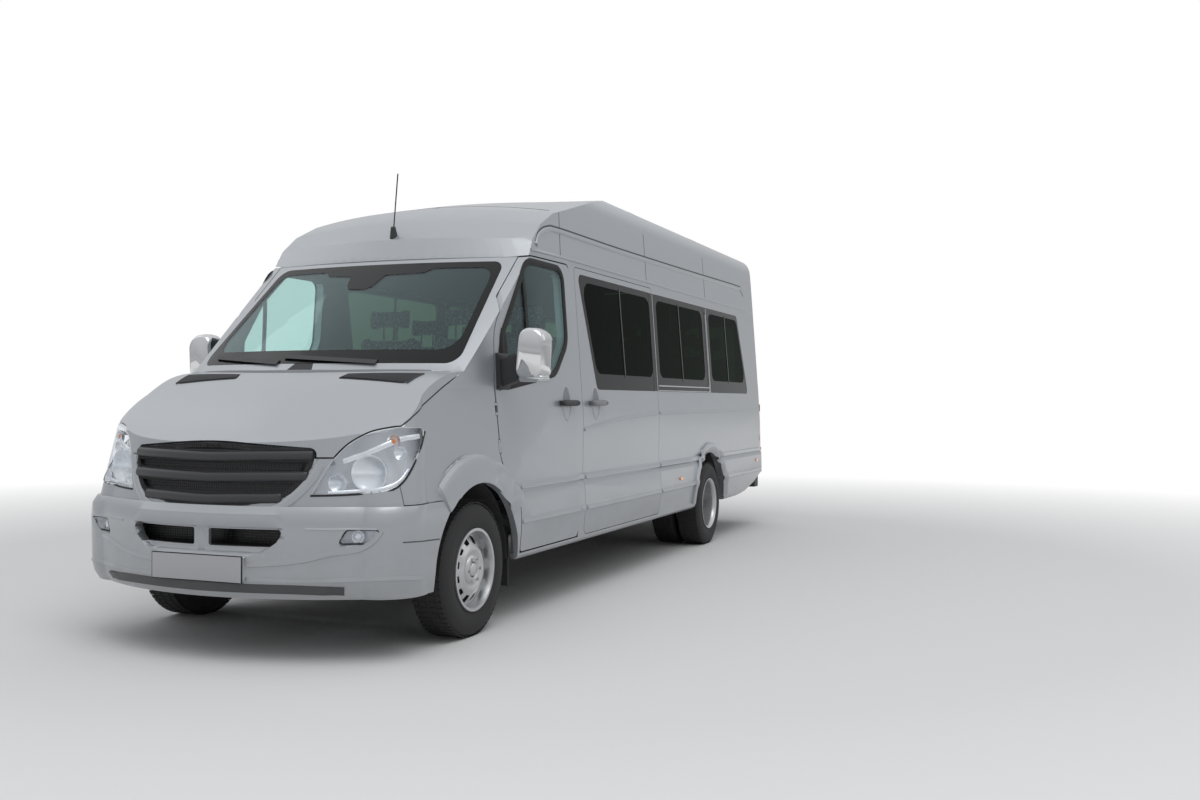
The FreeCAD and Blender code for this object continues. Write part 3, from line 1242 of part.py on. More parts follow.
def build():
    """Make every sub-part."""
    for name, maker in (
        ("floor_pan", make_floor), ("roof", make_roof), ("cab_frame", make_cab_frame), ("wings", make_wings),
        ("front_panel", make_front_panel), ("grille", make_grille), ("front_bumper", make_front_bumper),
        ("front_lamps", make_front_lamps), ("windscreen", make_windscreen), ("side_glass", make_side_glass),
        ("sliding_door", make_sliding_door), ("rear_bumper", make_rear_bumper), ("tail_lamps", make_tail_lamps),
        ("wipers", make_wipers), ("antenna", make_antenna), ("dashboard", make_dashboard),
        ("cab_seats", make_cab_seats), ("passenger_seats", make_passenger_seats), ("bonnet", make_bonnet),
        ("steering_wheel", make_steering_wheel),
    ):
        add(name, maker())
    add("side_wall_left", side_wall(True))
    add("side_wall_right", mirrored(side_wall(False)))
    for name, maker in (("front_door", make_front_door), ("front_door_glass", make_door_glass),
                        ("mirror", make_mirror), ("rear_door", make_rear_door), ("rear_door_glass", make_rear_glass)):
        pair(name, maker)
    for maker in (make_chassis, make_front_subframe, make_knuckles, make_rear_axle, make_engine, make_radiator,
                  make_exhaust, make_fuel_tank, make_mud_flaps, make_front_wheels, make_rear_wheels):
        maker()


def check_and_write():
    """Stop on any failed object or shape, then write one file for each sub-part."""
    DOC.recompute()
    failed = [thing.Name for thing in DOC.Objects if "Invalid" in thing.State or "Error" in thing.State]
    for node in SUB_PARTS:
        if node.Shape.isNull() or not node.Shape.isValid() or not node.Shape.Solids:
            failed.append(node.Label)
    if failed:
        raise RuntimeError("these failed: " + ", ".join(sorted(set(failed))))
    os.makedirs("parts", exist_ok=True)
    for node in SUB_PARTS:
        node.Shape.exportStep(f"parts/{node.Label}.step")
        print(node.Label, len(node.Shape.Solids), round(node.Shape.Volume / 1e6, 2))


build()
check_and_write()
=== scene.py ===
"""Looks of a silver high-roof minibus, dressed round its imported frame."""

import json
import logging
import math
from dataclasses import dataclass
from enum import Enum
from typing import Optional, Sequence

import bmesh
import bpy
from mathutils import Matrix, Vector
from mathutils.bvhtree import BVHTree

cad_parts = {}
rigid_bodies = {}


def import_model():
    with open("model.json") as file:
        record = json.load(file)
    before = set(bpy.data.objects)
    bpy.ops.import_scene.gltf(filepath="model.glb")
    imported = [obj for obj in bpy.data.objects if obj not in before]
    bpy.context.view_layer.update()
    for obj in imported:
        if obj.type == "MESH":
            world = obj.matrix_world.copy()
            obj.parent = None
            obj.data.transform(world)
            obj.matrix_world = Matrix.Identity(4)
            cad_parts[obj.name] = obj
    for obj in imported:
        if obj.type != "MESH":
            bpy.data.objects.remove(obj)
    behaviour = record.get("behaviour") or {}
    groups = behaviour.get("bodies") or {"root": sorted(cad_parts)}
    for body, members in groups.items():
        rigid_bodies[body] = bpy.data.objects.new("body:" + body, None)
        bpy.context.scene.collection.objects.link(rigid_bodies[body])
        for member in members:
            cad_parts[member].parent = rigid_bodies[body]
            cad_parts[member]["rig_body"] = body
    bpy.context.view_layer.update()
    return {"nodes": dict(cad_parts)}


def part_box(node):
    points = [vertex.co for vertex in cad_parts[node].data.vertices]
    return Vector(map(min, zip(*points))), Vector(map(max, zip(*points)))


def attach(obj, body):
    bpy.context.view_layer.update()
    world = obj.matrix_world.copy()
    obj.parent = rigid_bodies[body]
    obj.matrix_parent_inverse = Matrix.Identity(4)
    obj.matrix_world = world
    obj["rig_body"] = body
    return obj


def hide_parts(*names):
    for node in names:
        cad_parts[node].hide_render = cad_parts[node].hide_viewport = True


LOG = logging.getLogger("minibus")
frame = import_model()

Colour = tuple[float, float, float]
Point = tuple[float, float, float]
Corner = tuple[float, float, float]
Plan = Sequence[tuple[float, float]]


def centre_of(node: str) -> Vector:
    """Give the middle of a frame node's box."""
    low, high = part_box(node)
    return (low + high) / 2


AXLE_X = centre_of("front_tyre_left").x     # the front axle, from which places along the body are measured
REAR_AXLE_X = centre_of("rear_tyres_left").x
HUB_Z = centre_of("front_tyre_left").z
REAR_X = REAR_AXLE_X - AXLE_X
LAMP_TURN = math.radians(33)                # the lamps' outlines are seen from this far round the nose


def at(x: float, y: float, z: float) -> Vector:
    """Place a point that is measured from the front axle.

    Args:
        x: metres ahead of the front axle.
        y: metres to the vehicle's left.
        z: metres above the ground.

    Returns:
        The point in the frame's own axes.
    """
    return Vector((AXLE_X + x, y, z))


class Side(Enum):
    """The two sides of the vehicle, with the sign of y on each."""

    LEFT = 1
    RIGHT = -1

    @property
    def word(self) -> str:
        """Give the side's word as node names use it."""
        return self.name.lower()


class Shader:
    """A material's node tree, written one node at a time."""

    def __init__(self, name: str) -> None:
        """Start a material that holds one Principled shader."""
        self.material = bpy.data.materials.new(name)
        self.material.use_nodes = True
        self.tree = self.material.node_tree
        self.surface = self.tree.nodes["Principled BSDF"]
        self.output = self.tree.nodes["Material Output"]

    def node(self, kind: str, settings: Optional[dict] = None, **inputs: object) -> bpy.types.Node:
        """Add a node.

        Args:
            kind: the node's type name.
            settings: values of the node's own properties.
            inputs: values or sockets for its inputs, by name with underscores for spaces.

        Returns:
            The new node.
        """
        made = self.tree.nodes.new(kind)
        for key, value in (settings or {}).items():
            setattr(made, key, value)
        for key, value in inputs.items():
            self.feed(made, key.replace("_", " "), value)
        return made

    def feed(self, node: bpy.types.Node, name: str, value: object) -> None:
        """Set or link one input of a node."""
        socket = node.inputs[int(name)] if name.isdigit() else node.inputs[name]
        if isinstance(value, bpy.types.NodeSocket):
            self.tree.links.new(value, socket)
        else:
            socket.default_value = value

    def set(self, **values: object) -> None:
        """Set or link inputs of the Principled shader, by name with underscores for spaces."""
        for key, value in values.items():
            self.feed(self.surface, key.replace("_", " "), value)

    def place(self) -> bpy.types.NodeSocket:
        """Give the Object coordinates, in metres."""
        return self.node("ShaderNodeTexCoord").outputs["Object"]

    def noise(self, scale: float, detail: float = 2.0, stretch: Point = (1, 1, 1)) -> bpy.types.NodeSocket:
        """Give a noise pattern's value on Object coordinates.

        Args:
            scale: waves to a metre.
            detail: octaves.
            stretch: scale of each axis.

        Returns:
            The noise's factor socket.
        """
        turned = self.node("ShaderNodeMapping", Vector=self.place(), Scale=stretch)
        made = self.node("ShaderNodeTexNoise", Vector=turned.outputs[0], Scale=scale, Detail=detail)
        return made.outputs["Fac"]

    def spread(self, value: bpy.types.NodeSocket, low: float, high: float, start: float = 0.0,
               end: float = 1.0) -> bpy.types.NodeSocket:
        """Map a value from start..end to low..high."""
        made = self.node(
            "ShaderNodeMapRange", From_Min=start, From_Max=end, To_Min=low, To_Max=high, Value=value)
        return made.outputs["Result"]

    def blend(self, share: object, first: Colour, second: Colour) -> bpy.types.NodeSocket:
        """Mix two colours by a share."""
        made = self.node("ShaderNodeMix", {"data_type": "RGBA"})
        for index, value in ((0, share), (6, (*first, 1)), (7, (*second, 1))):
            self.feed(made, str(index), value)
        return made.outputs[2]

    def bump(self, height: bpy.types.NodeSocket, depth: float, strength: float = 1.0) -> None:
        """Give the surface relief of a depth in metres."""
        made = self.node("ShaderNodeBump", Height=height, Distance=depth, Strength=strength)
        self.set(Normal=made.outputs[0])

    def low_band(self, start: float, end: float) -> bpy.types.NodeSocket:
        """Give 1 below start and 0 above end, by height."""
        parts = self.node("ShaderNodeSeparateXYZ", Vector=self.place())
        return self.spread(parts.outputs["Z"], 1.0, 0.0, start, end)


@dataclass(frozen=True)
class Finish:
    """A plain moulded, painted or metal finish with fine grain.

    Attributes:
        name: the material's name.
        colour: its base colour.
        metallic: share of metal.
        roughness: mean roughness.
        coat: weight of the clear coat.
        grain: waves of its grain to a metre.
        depth: depth of the grain in metres.
        vary: how far the colour varies, as a share.
        gloss: level of its plain reflection.
    """

    name: str
    colour: Colour
    metallic: float = 0.0
    roughness: float = 0.5
    coat: float = 0.0
    grain: float = 400.0
    depth: float = 0.0002
    vary: float = 0.1
    gloss: float = 0.5

    @property
    def label(self) -> str:
        """Give the material's name, which no slot of the frame has."""
        return self.name + "_finish"

    def material(self) -> bpy.types.Material:
        """Build the material, or give it again if it is there."""
        known = bpy.data.materials.get(self.label)
        return known if known else self.build()

    def build(self) -> bpy.types.Material:
        """Build the node tree."""
        shader = Shader(self.label)
        patches = shader.noise(self.grain / 60, 3.0)
        darker = tuple(part * (1 - self.vary) for part in self.colour)
        lighter = tuple(min(part * (1 + self.vary), 1.0) for part in self.colour)
        shader.set(
            Base_Color=shader.blend(patches, darker, lighter), Metallic=self.metallic, Coat_Weight=self.coat,
            Coat_Roughness=0.06, Specular_IOR_Level=self.gloss)
        shader.set(Roughness=shader.spread(patches, self.roughness * 0.85, min(self.roughness * 1.15, 1.0)))
        if self.depth > 0:
            shader.bump(shader.noise(self.grain), self.depth, 0.5)
        return shader.material


@dataclass(frozen=True)
class PaintFinish(Finish):
    """Metallic body paint: flakes under a clear coat, with road film low down."""

    flake: float = 2600.0
    film: Colour = (0.40, 0.39, 0.37)

    def build(self) -> bpy.types.Material:
        """Build the node tree."""
        shader = Shader(self.label)
        flakes = shader.noise(self.flake, 0.0)
        broad = shader.noise(1.3, 2.0)
        tone = shader.blend(
            flakes, tuple(part * 0.93 for part in self.colour),
            tuple(min(part * 1.07, 1.0) for part in self.colour))
        splash = shader.node("ShaderNodeMath", {"operation": "MULTIPLY"})
        shader.feed(splash, "0", shader.low_band(0.30, 0.75))
        shader.feed(splash, "1", shader.spread(shader.noise(9.0, 5.0, (0.4, 1, 1)), 0.0, 0.5, 0.35, 0.75))
        mixed = shader.node("ShaderNodeMix", {"data_type": "RGBA"})
        for index, value in ((0, splash.outputs[0]), (6, tone), (7, (*self.film, 1))):
            shader.feed(mixed, str(index), value)
        shader.set(
            Base_Color=mixed.outputs[2], Metallic=self.metallic, Coat_Weight=self.coat, Coat_Roughness=0.14,
            Coat_IOR=1.5)
        rough = shader.node("ShaderNodeMath", {"operation": "MULTIPLY_ADD"})
        shader.feed(rough, "0", splash.outputs[0])
        shader.feed(rough, "1", 0.35)
        shader.feed(rough, "2", shader.spread(broad, self.roughness * 0.95, self.roughness * 1.05))
        shader.set(Roughness=rough.outputs[0])
        return shader.material


@dataclass(frozen=True)
class GlassFinish(Finish):
    """Window glass: see-through with a tint, mirroring more towards its edges.

    Attributes:
        tint: what one face lets through.
        mirror: share of a real glass face's mirroring.
    """

    tint: Colour = (0.8, 0.88, 0.86)
    mirror: float = 1.0

    def build(self) -> bpy.types.Material:
        """Build the node tree."""
        shader = Shader(self.label)
        shader.set(Base_Color=(*self.colour, 1), Metallic=1.0, Roughness=0.02)
        clear = shader.node("ShaderNodeBsdfTransparent", Color=(*self.tint, 1))
        facing = shader.node("ShaderNodeLayerWeight", Blend=0.5)
        steep = shader.node("ShaderNodeMath", {"operation": "POWER"})
        shader.feed(steep, "0", facing.outputs["Facing"])
        shader.feed(steep, "1", 5.0)
        share = shader.spread(steep.outputs[0], 0.04 * self.mirror, self.mirror)
        mixed = shader.node("ShaderNodeMixShader")
        for index, value in ((0, share), (1, clear.outputs[0]), (2, shader.surface.outputs[0])):
            shader.feed(mixed, str(index), value)
        shader.feed(shader.output, "Surface", mixed.outputs[0])
        return shader.material


@dataclass(frozen=True)
class FabricFinish(Finish):
    """Woven seat cloth with a fleck."""

    fleck: Colour = (0.25, 0.27, 0.32)

    def build(self) -> bpy.types.Material:
        """Build the node tree."""
        shader = Shader(self.label)
        spots = shader.spread(shader.noise(60.0, 3.0), 0.0, 1.0, 0.52, 0.68)
        shader.set(Base_Color=shader.blend(spots, self.colour, self.fleck), Roughness=0.9, Sheen_Weight=0.3)
        weave = shader.node(
            "ShaderNodeTexWave", Scale=110.0, Distortion=1.5, Detail=1.0, Vector=shader.place())
        shader.bump(weave.outputs["Fac"], 0.0008, 0.6)
        return shader.material


SILVER = PaintFinish("silver_paint", (0.412, 0.434, 0.458), metallic=0.50, roughness=0.36, coat=0.45)
UNDERSIDE = Finish("underbody_coat", (0.045, 0.045, 0.047), roughness=0.85, grain=220, depth=0.0008)
GRILLE_BLACK = Finish("grille_plastic", (0.022, 0.023, 0.025), roughness=0.35, grain=500, depth=0.0001)
TRIM_BLACK = Finish("trim_plastic", (0.03, 0.031, 0.033), roughness=0.55, grain=900, depth=0.0002)
SEAL = Finish("rubber_seal", (0.012, 0.012, 0.013), roughness=0.7, grain=500, depth=0.0001)
CABIN_GREY = Finish("cabin_plastic", (0.055, 0.057, 0.062), roughness=0.65, grain=700, depth=0.0003)
# a real lining whose near-black is partly painted shade of the unlit cabin
LINING_AND_CABIN_SHADE = Finish("cabin_lining", (0.085, 0.086, 0.088), roughness=0.95, grain=300, depth=0.0, gloss=0.1)
CLEAR = GlassFinish("clear_glass", (0.80, 0.92, 0.96), tint=(0.79, 0.90, 0.88), mirror=1.0)
TINTED = GlassFinish("tinted_glass", (0.82, 0.95, 0.84), tint=(0.20, 0.27, 0.21), mirror=0.16)
LAMP_GLASS = GlassFinish("lamp_lens", (0.90, 0.92, 0.94), tint=(0.97, 0.98, 0.99), mirror=0.7)
RED_LENS = Finish("red_lens", (0.42, 0.012, 0.015), roughness=0.12, coat=1.0, grain=260, depth=0.0004)
CHROME = Finish("chrome", (0.60, 0.61, 0.62), metallic=1.0, roughness=0.07, grain=100, depth=0.0, vary=0.02)
STEEL = Finish("dull_steel", (0.30, 0.28, 0.26), metallic=0.8, roughness=0.5, grain=300, depth=0.0003)
CHASSIS = Finish("chassis_paint", (0.03, 0.03, 0.031), roughness=0.6, grain=250, depth=0.0004)
CASTING = Finish("cast_metal", (0.16, 0.16, 0.16), metallic=0.6, roughness=0.6, grain=350, depth=0.0006)
WHEEL_SILVER = Finish(
    "wheel_paint", (0.55, 0.56, 0.57), metallic=0.75, roughness=0.32, coat=0.3, grain=300, depth=0.0001)
TYRE_RUBBER = Finish("tyre_rubber", (0.025, 0.025, 0.026), roughness=0.75, grain=260, depth=0.0005, vary=0.25)
SEAT_CLOTH = FabricFinish("seat_cloth", (0.055, 0.062, 0.085))
AMBER = Finish("amber_lens", (0.85, 0.25, 0.02), roughness=0.15, coat=1.0, grain=300, depth=0.0003)
PLATE = Finish("blank_plate", (0.44, 0.45, 0.47), roughness=0.35, coat=0.4, grain=60, depth=0.0)
REFLECTOR = Finish(
    "lamp_reflector", (0.85, 0.86, 0.88), metallic=0.7, roughness=0.22, grain=120, depth=0.0004)

FRIT = Finish("printed_edge", (0.010, 0.011, 0.011), roughness=0.12, grain=200, depth=0.0, gloss=0.18)
BRIGHT_LINE = Finish("bright_line", (0.55, 0.56, 0.58), metallic=0.8, roughness=0.25, grain=200, depth=0.0)
# darker grey for the upper half of each handle cup: painted shade under the cup's lip
CUP_PAINTED_SHADE = Finish("cup_shade", (0.25, 0.26, 0.275), metallic=0.5, roughness=0.45, grain=300, depth=0.0001)
HANDLE_GREY = Finish(
    "handle_grey", (0.16, 0.165, 0.175), metallic=0.3, roughness=0.35, coat=0.4, grain=300, depth=0.0)
# dark seams between panels, and painted shade in the groove along the roof's side
JOINT_SHADE = Finish("joint_shade", (0.075, 0.078, 0.082), roughness=0.6, grain=300, depth=0.0)
SLAT_GREY = Finish("slat_plastic", (0.036, 0.038, 0.042), roughness=0.42, grain=900, depth=0.0002)
VALANCE_GREY = Finish("valance_plastic", (0.075, 0.077, 0.080), roughness=0.45, grain=600, depth=0.0003)
# near-white and barely metallic so that the bowls stay bright in the dark lamps: painted light in place of the
# chrome bowls' reflection
LAMP_BOWL_PAINTED_LIGHT = Finish("lamp_bowl", (0.88, 0.89, 0.91), metallic=0.1, roughness=0.35, grain=90, depth=0.0008)
BRAKE = Finish("brake_iron", (0.035, 0.034, 0.033), metallic=0.5, roughness=0.6, grain=300, depth=0.0003)

# the finish of each node of the frame that stays in view
NODE_FINISHES: dict[Finish, Sequence[str]] = {
    SILVER: ("roof", "cab_frame", "wings", "front_panel", "front_bumper", "sliding_door", "bonnet",
             "side_wall_left", "side_wall_right", "front_door_left", "front_door_right",
             "rear_door_left", "rear_door_right"),
    UNDERSIDE: ("floor_pan",),
    GRILLE_BLACK: ("grille",),
    TRIM_BLACK: ("rear_bumper", "wipers", "antenna", "fuel_tank", "mud_flaps"),
    CABIN_GREY: ("dashboard", "steering_wheel"),
    CLEAR: ("windscreen", "front_door_glass_left", "front_door_glass_right"),
    TINTED: ("side_glass", "rear_door_glass_left", "rear_door_glass_right"),
    RED_LENS: ("tail_lamps",),
    CHASSIS: ("chassis_rails", "front_subframe", "rear_axle", "radiator"),
    CASTING: ("knuckle_left", "knuckle_right", "engine"),
    STEEL: ("exhaust",),
    TYRE_RUBBER: ("front_tyre_left", "front_tyre_right", "rear_tyres_left", "rear_tyres_right"),
}


def body_of_node(node: str) -> str:
    """Give the moving body that a frame node belongs to."""
    return frame["nodes"][node]["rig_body"]


def finished(name: str, mesh: bpy.types.Mesh, finish: Finish, body: str,
             smooth_deg: float = 35.0) -> bpy.types.Object:
    """Make a piece from a mesh, dress it and let it ride on a body.

    Args:
        name: the piece's name.
        mesh: its mesh, in place.
        finish: its finish.
        body: the body that carries it.
        smooth_deg: edges sharper than this stay sharp.

    Returns:
        The new object.
    """
    piece = bpy.data.objects.new(name, mesh)
    bpy.context.scene.collection.objects.link(piece)
    mesh.materials.clear()
    mesh.materials.append(finish.material())
    mesh.polygons.foreach_set("use_smooth", [True] * len(mesh.polygons))
    mesh.set_sharp_from_angle(angle=math.radians(smooth_deg))
    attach(piece, body)
    LOG.info("made %s with %d faces on %s", name, len(mesh.polygons), body)
    return piece


def mesh_from(work: bmesh.types.BMesh, name: str, mend: bool = True) -> bpy.types.Mesh:
    """Turn a bmesh into a mesh, with its faces pointing outwards."""
    if mend:
        bmesh.ops.remove_doubles(work, verts=work.verts, dist=1e-6)
        bmesh.ops.recalc_face_normals(work, faces=work.faces)
    mesh = bpy.data.meshes.new(name)
    work.to_mesh(mesh)
    work.free()
    return mesh


class View(Enum):
    """Directions in which outlines are laid on the vehicle: across, up and into the surface."""

    LEFT = ((1, 0, 0), (0, 0, 1), (0, -1, 0))
    RIGHT = ((1, 0, 0), (0, 0, 1), (0, 1, 0))
    FRONT = ((0, 1, 0), (0, 0, 1), (-1, 0, 0))
    REAR = ((0, 1, 0), (0, 0, 1), (1, 0, 0))
    TOP = ((1, 0, 0), (0, 1, 0), (0, 0, -1))
    NOSE_LEFT = (
        (-math.sin(LAMP_TURN), math.cos(LAMP_TURN), 0), (0, 0, 1),
        (-math.cos(LAMP_TURN), -math.sin(LAMP_TURN), 0))
    NOSE_RIGHT = (
        (-math.sin(LAMP_TURN), -math.cos(LAMP_TURN), 0), (0, 0, 1),
        (-math.cos(LAMP_TURN), math.sin(LAMP_TURN), 0))

    def start(self, u: float, v: float) -> Vector:
        """Give a point far outside the vehicle, from which a line into it is cast."""
        across, up, into = (Vector(part) for part in self.value)
        return at(0, 0, 0) + across * u + up * v - into * 10.0

    def line(self, u: float, v: float) -> tuple[Vector, Vector]:
        """Give the line into the vehicle at a spot of an outline."""
        return self.start(u, v), self.into

    @property
    def into(self) -> Vector:
        """Give the direction into the surface."""
        return Vector(self.value[2])


SIDE_VIEWS = {Side.LEFT: View.LEFT, Side.RIGHT: View.RIGHT}


class Skins:
    """The frame's surfaces as search trees, on which details are set."""

    def __init__(self) -> None:
        """Start with no trees."""
        self.trees: dict[str, BVHTree] = {}

    def tree(self, node: str) -> BVHTree:
        """Give a node's search tree, made when it is first asked for."""
        if node not in self.trees:
            mesh = frame["nodes"][node].data
            self.trees[node] = BVHTree.FromPolygons(
                [v.co for v in mesh.vertices], [p.vertices for p in mesh.polygons])
        return self.trees[node]

    def hit(self, start: Vector, into: Vector, nodes: Sequence[str]) -> Optional[tuple[Vector, Vector]]:
        """Find where a line first meets any of some nodes.

        Args:
            start: where the line begins.
            into: its direction.
            nodes: the nodes that it may meet.

        Returns:
            The place and the outward normal there, or None.
        """
        best = None
        for node in nodes:
            place, normal, _, distance = self.tree(node).ray_cast(start, into)
            if place is not None and (best is None or distance < best[2]):
                best = (place, normal if normal.dot(into) < 0 else -normal, distance)
        return (best[0], best[1]) if best else None

    def set_on(self, view: "View | PhotoCamera", spot: tuple[float, float],
               nodes: Sequence[str]) -> tuple[Vector, Vector]:
        """Give the place and normal of one spot of an outline, or of the nearest skin if the line misses."""
        start, into = view.line(*spot)
        found = self.hit(start, into, nodes)
        if found:
            return found
        reach = 10.0
        for _ in range(3):
            near = [self.tree(node).find_nearest(start + into * reach) for node in nodes]
            place = min(near, key=lambda entry: entry[3])[0]
            reach = (place - start).dot(into)
        return start + into * reach, -into


SKINS = Skins()


def rounded(corners: Sequence[Corner], arc: int = 5, side: int = 6) -> list[tuple[float, float]]:
    """Round the corners of a closed outline.

    Args:
        corners: across, up and radius of each corner.
        arc: points on each rounded corner.
        side: further points on each straight side.

    Returns:
        The outline's points, as many for any outline of as many corners.
    """
    points: list[tuple[float, float]] = []
    count = len(corners)
    arcs = []
    for index in range(count):
        here = Vector(corners[index][:2])
        before = (Vector(corners[index - 1][:2]) - here)
        after = (Vector(corners[(index + 1) % count][:2]) - here)
        half = before.angle(after) / 2
        reach = min(corners[index][2] / math.tan(half), before.length * 0.49, after.length * 0.49)
        first, last = here + before.normalized() * reach, here + after.normalized() * reach
        radius = reach * math.tan(half)
        centre = here + (before.normalized() + after.normalized()).normalized() * (radius / math.sin(half))
        line = []
        for step in range(arc):
            line.append(centre + (first.lerp(last, step / (arc - 1)) - centre).normalized() * radius)
        arcs.append(line)
    for index, line in enumerate(arcs):
        points.extend((p.x, p.y) for p in line)
        ahead = arcs[(index + 1) % count][0]
        for step in range(1, side + 1):
            p = line[-1].lerp(ahead, step / (side + 1))
            points.append((p.x, p.y))
    return points


def even(path: Plan, step: float, closed: bool) -> list[tuple[float, float]]:
    """Space points evenly along a path."""
    spots = [Vector(p) for p in path] + ([Vector(path[0])] if closed else [])
    lengths = [(b - a).length for a, b in zip(spots, spots[1:])]
    total = sum(lengths)
    count = max(int(round(total / step)), 2)
    result = []
    for number in range(count if closed else count + 1):
        left = total * number / count
        for a, b, length in zip(spots, spots[1:], lengths):
            if left <= length or b is spots[-1]:
                p = a.lerp(b, min(left / max(length, 1e-9), 1.0))
                result.append((p.x, p.y))
                break
            left -= length
    return result


def curve_through(path: Plan, per_span: int = 8) -> list[tuple[float, float]]:
    """Run a smooth curve through points.

    Args:
        path: the points.
        per_span: points made between each two.

    Returns:
        The finer path.
    """
    spots = [Vector(p) for p in path]
    spots = [spots[0] * 2 - spots[1]] + spots + [spots[-1] * 2 - spots[-2]]
    line = []
    for a, b, c, d in zip(spots, spots[1:], spots[2:], spots[3:]):
        for step in range(per_span):
            t = step / per_span
            line.append(0.5 * (
                (b * 2) + (c - a) * t + (a * 2 - b * 5 + c * 4 - d) * t ** 2
                + (b * 3 - a - c * 3 + d) * t ** 3))
    line.append(spots[-2])
    return [(p.x, p.y) for p in line]


def patch_mesh(name: str, outline: Plan, view: View, nodes: Sequence[str], lift: float = 0.0012,
               sink: float = 0.003, step: float = 0.04) -> bpy.types.Mesh:
    """Lay a thin closed sheet on the skin within an outline.

    Args:
        name: the mesh's name.
        outline: its points as the view shows them.
        view: the direction that it is laid in.
        nodes: the nodes that it lies on.
        lift: how far its face stands off the skin.
        sink: how far its back reaches into the skin.
        step: size of its facets.

    Returns:
        The mesh, in place.
    """
    work = bmesh.new()
    work.faces.new([work.verts.new((u, v, 0)) for u, v in outline])
    for axis, normal in ((0, (1, 0, 0)), (1, (0, 1, 0))):
        values = [spot[axis] for spot in outline]
        for number in range(1, int((max(values) - min(values)) / step) + 1):
            cut = [0.0, 0.0, 0.0]
            cut[axis] = min(values) + number * step
            bmesh.ops.bisect_plane(
                work, geom=work.verts[:] + work.edges[:] + work.faces[:], plane_co=cut, plane_no=normal,
                dist=1e-5)
    bmesh.ops.triangulate(work, faces=work.faces[:])
    work.verts.index_update()
    spots = [SKINS.set_on(view, (v.co.x, v.co.y), nodes) for v in work.verts]
    count = len(spots)
    places = [p + n * lift for p, n in spots] + [p - n * sink for p, n in spots]
    faces = [[v.index for v in face.verts] for face in work.faces]
    rim = [[v.index for v in edge.verts] for edge in work.edges if len(edge.link_faces) == 1]
    work.free()
    closed = faces + [[i + count for i in reversed(face)] for face in faces]
    closed += [[a, b, b + count, a + count] for a, b in rim]
    return closed_mesh(name, places, closed)


def closed_mesh(name: str, places: Sequence[Vector], faces: Sequence[Sequence[int]]) -> bpy.types.Mesh:
    """Make a mesh from points and faces, with its faces turned outwards."""
    work = bmesh.new()
    corners = [work.verts.new(place) for place in places]
    for face in faces:
        work.faces.new([corners[index] for index in face])
    return mesh_from(work, name)


def band_mesh(name: str, outer: Plan, inner: Plan, view: View, nodes: Sequence[str], lift: float = 0.0012,
              sink: float = 0.003, across: int = 4) -> bpy.types.Mesh:
    """Lay a closed band on the skin between two outlines of as many points.

    Args:
        name: the mesh's name.
        outer: its outer outline.
        inner: its inner outline.
        view: the direction that it is laid in.
        nodes: the nodes that it lies on.
        lift: how far its face stands off the skin.
        sink: how far its back reaches into the skin.
        across: facets across the band.

    Returns:
        The mesh, in place.
    """
    count = len(outer)
    tops, backs = [], []
    for ring in range(across + 1):
        share = ring / across
        for a, b in zip(outer, inner):
            spot = (a[0] + (b[0] - a[0]) * share, a[1] + (b[1] - a[1]) * share)
            place, normal = SKINS.set_on(view, spot, nodes)
            tops.append(place + normal * lift)
            backs.append(place - normal * sink)
    total = len(tops)
    faces = []
    for ring in range(across):
        for i in range(count):
            a, b = ring * count + i, ring * count + (i + 1) % count
            faces.append([a, b, b + count, a + count])
            faces.append([total + a + count, total + b + count, total + b, total + a])
    for base in (0, across * count):
        for i in range(count):
            a, b = base + i, base + (i + 1) % count
            faces.append([a, b, b + total, a + total])
    return closed_mesh(name, tops + backs, faces)


# sections of the ribbons: across and up, as shares of the width, and of the height or the sink
BEAD = ((-0.5, -1.0), (-0.5, 0.30), (-0.36, 0.80), (0.0, 1.0), (0.36, 0.80), (0.5, 0.30), (0.5, -1.0))
FLAT = ((-0.5, -1.0), (-0.5, 0.85), (-0.46, 1.0), (0.46, 1.0), (0.5, 0.85), (0.5, -1.0))
STEP = ((-0.5, -1.0), (-0.5, 0.04), (0.30, 1.0), (0.42, 0.90), (0.5, 0.10), (0.5, -1.0))
FLARE = (
    (-0.5, -1.0), (-0.5, 0.55), (-0.42, 0.92), (-0.30, 1.0), (-0.05, 0.86), (0.25, 0.45), (0.5, 0.05),
    (0.5, -1.0))
SLAT = (
    (-0.5, -1.0), (-0.5, 0.10), (-0.42, 0.55), (-0.20, 0.92), (0.05, 1.0), (0.28, 0.85), (0.44, 0.45),
    (0.5, 0.05), (0.5, -1.0))


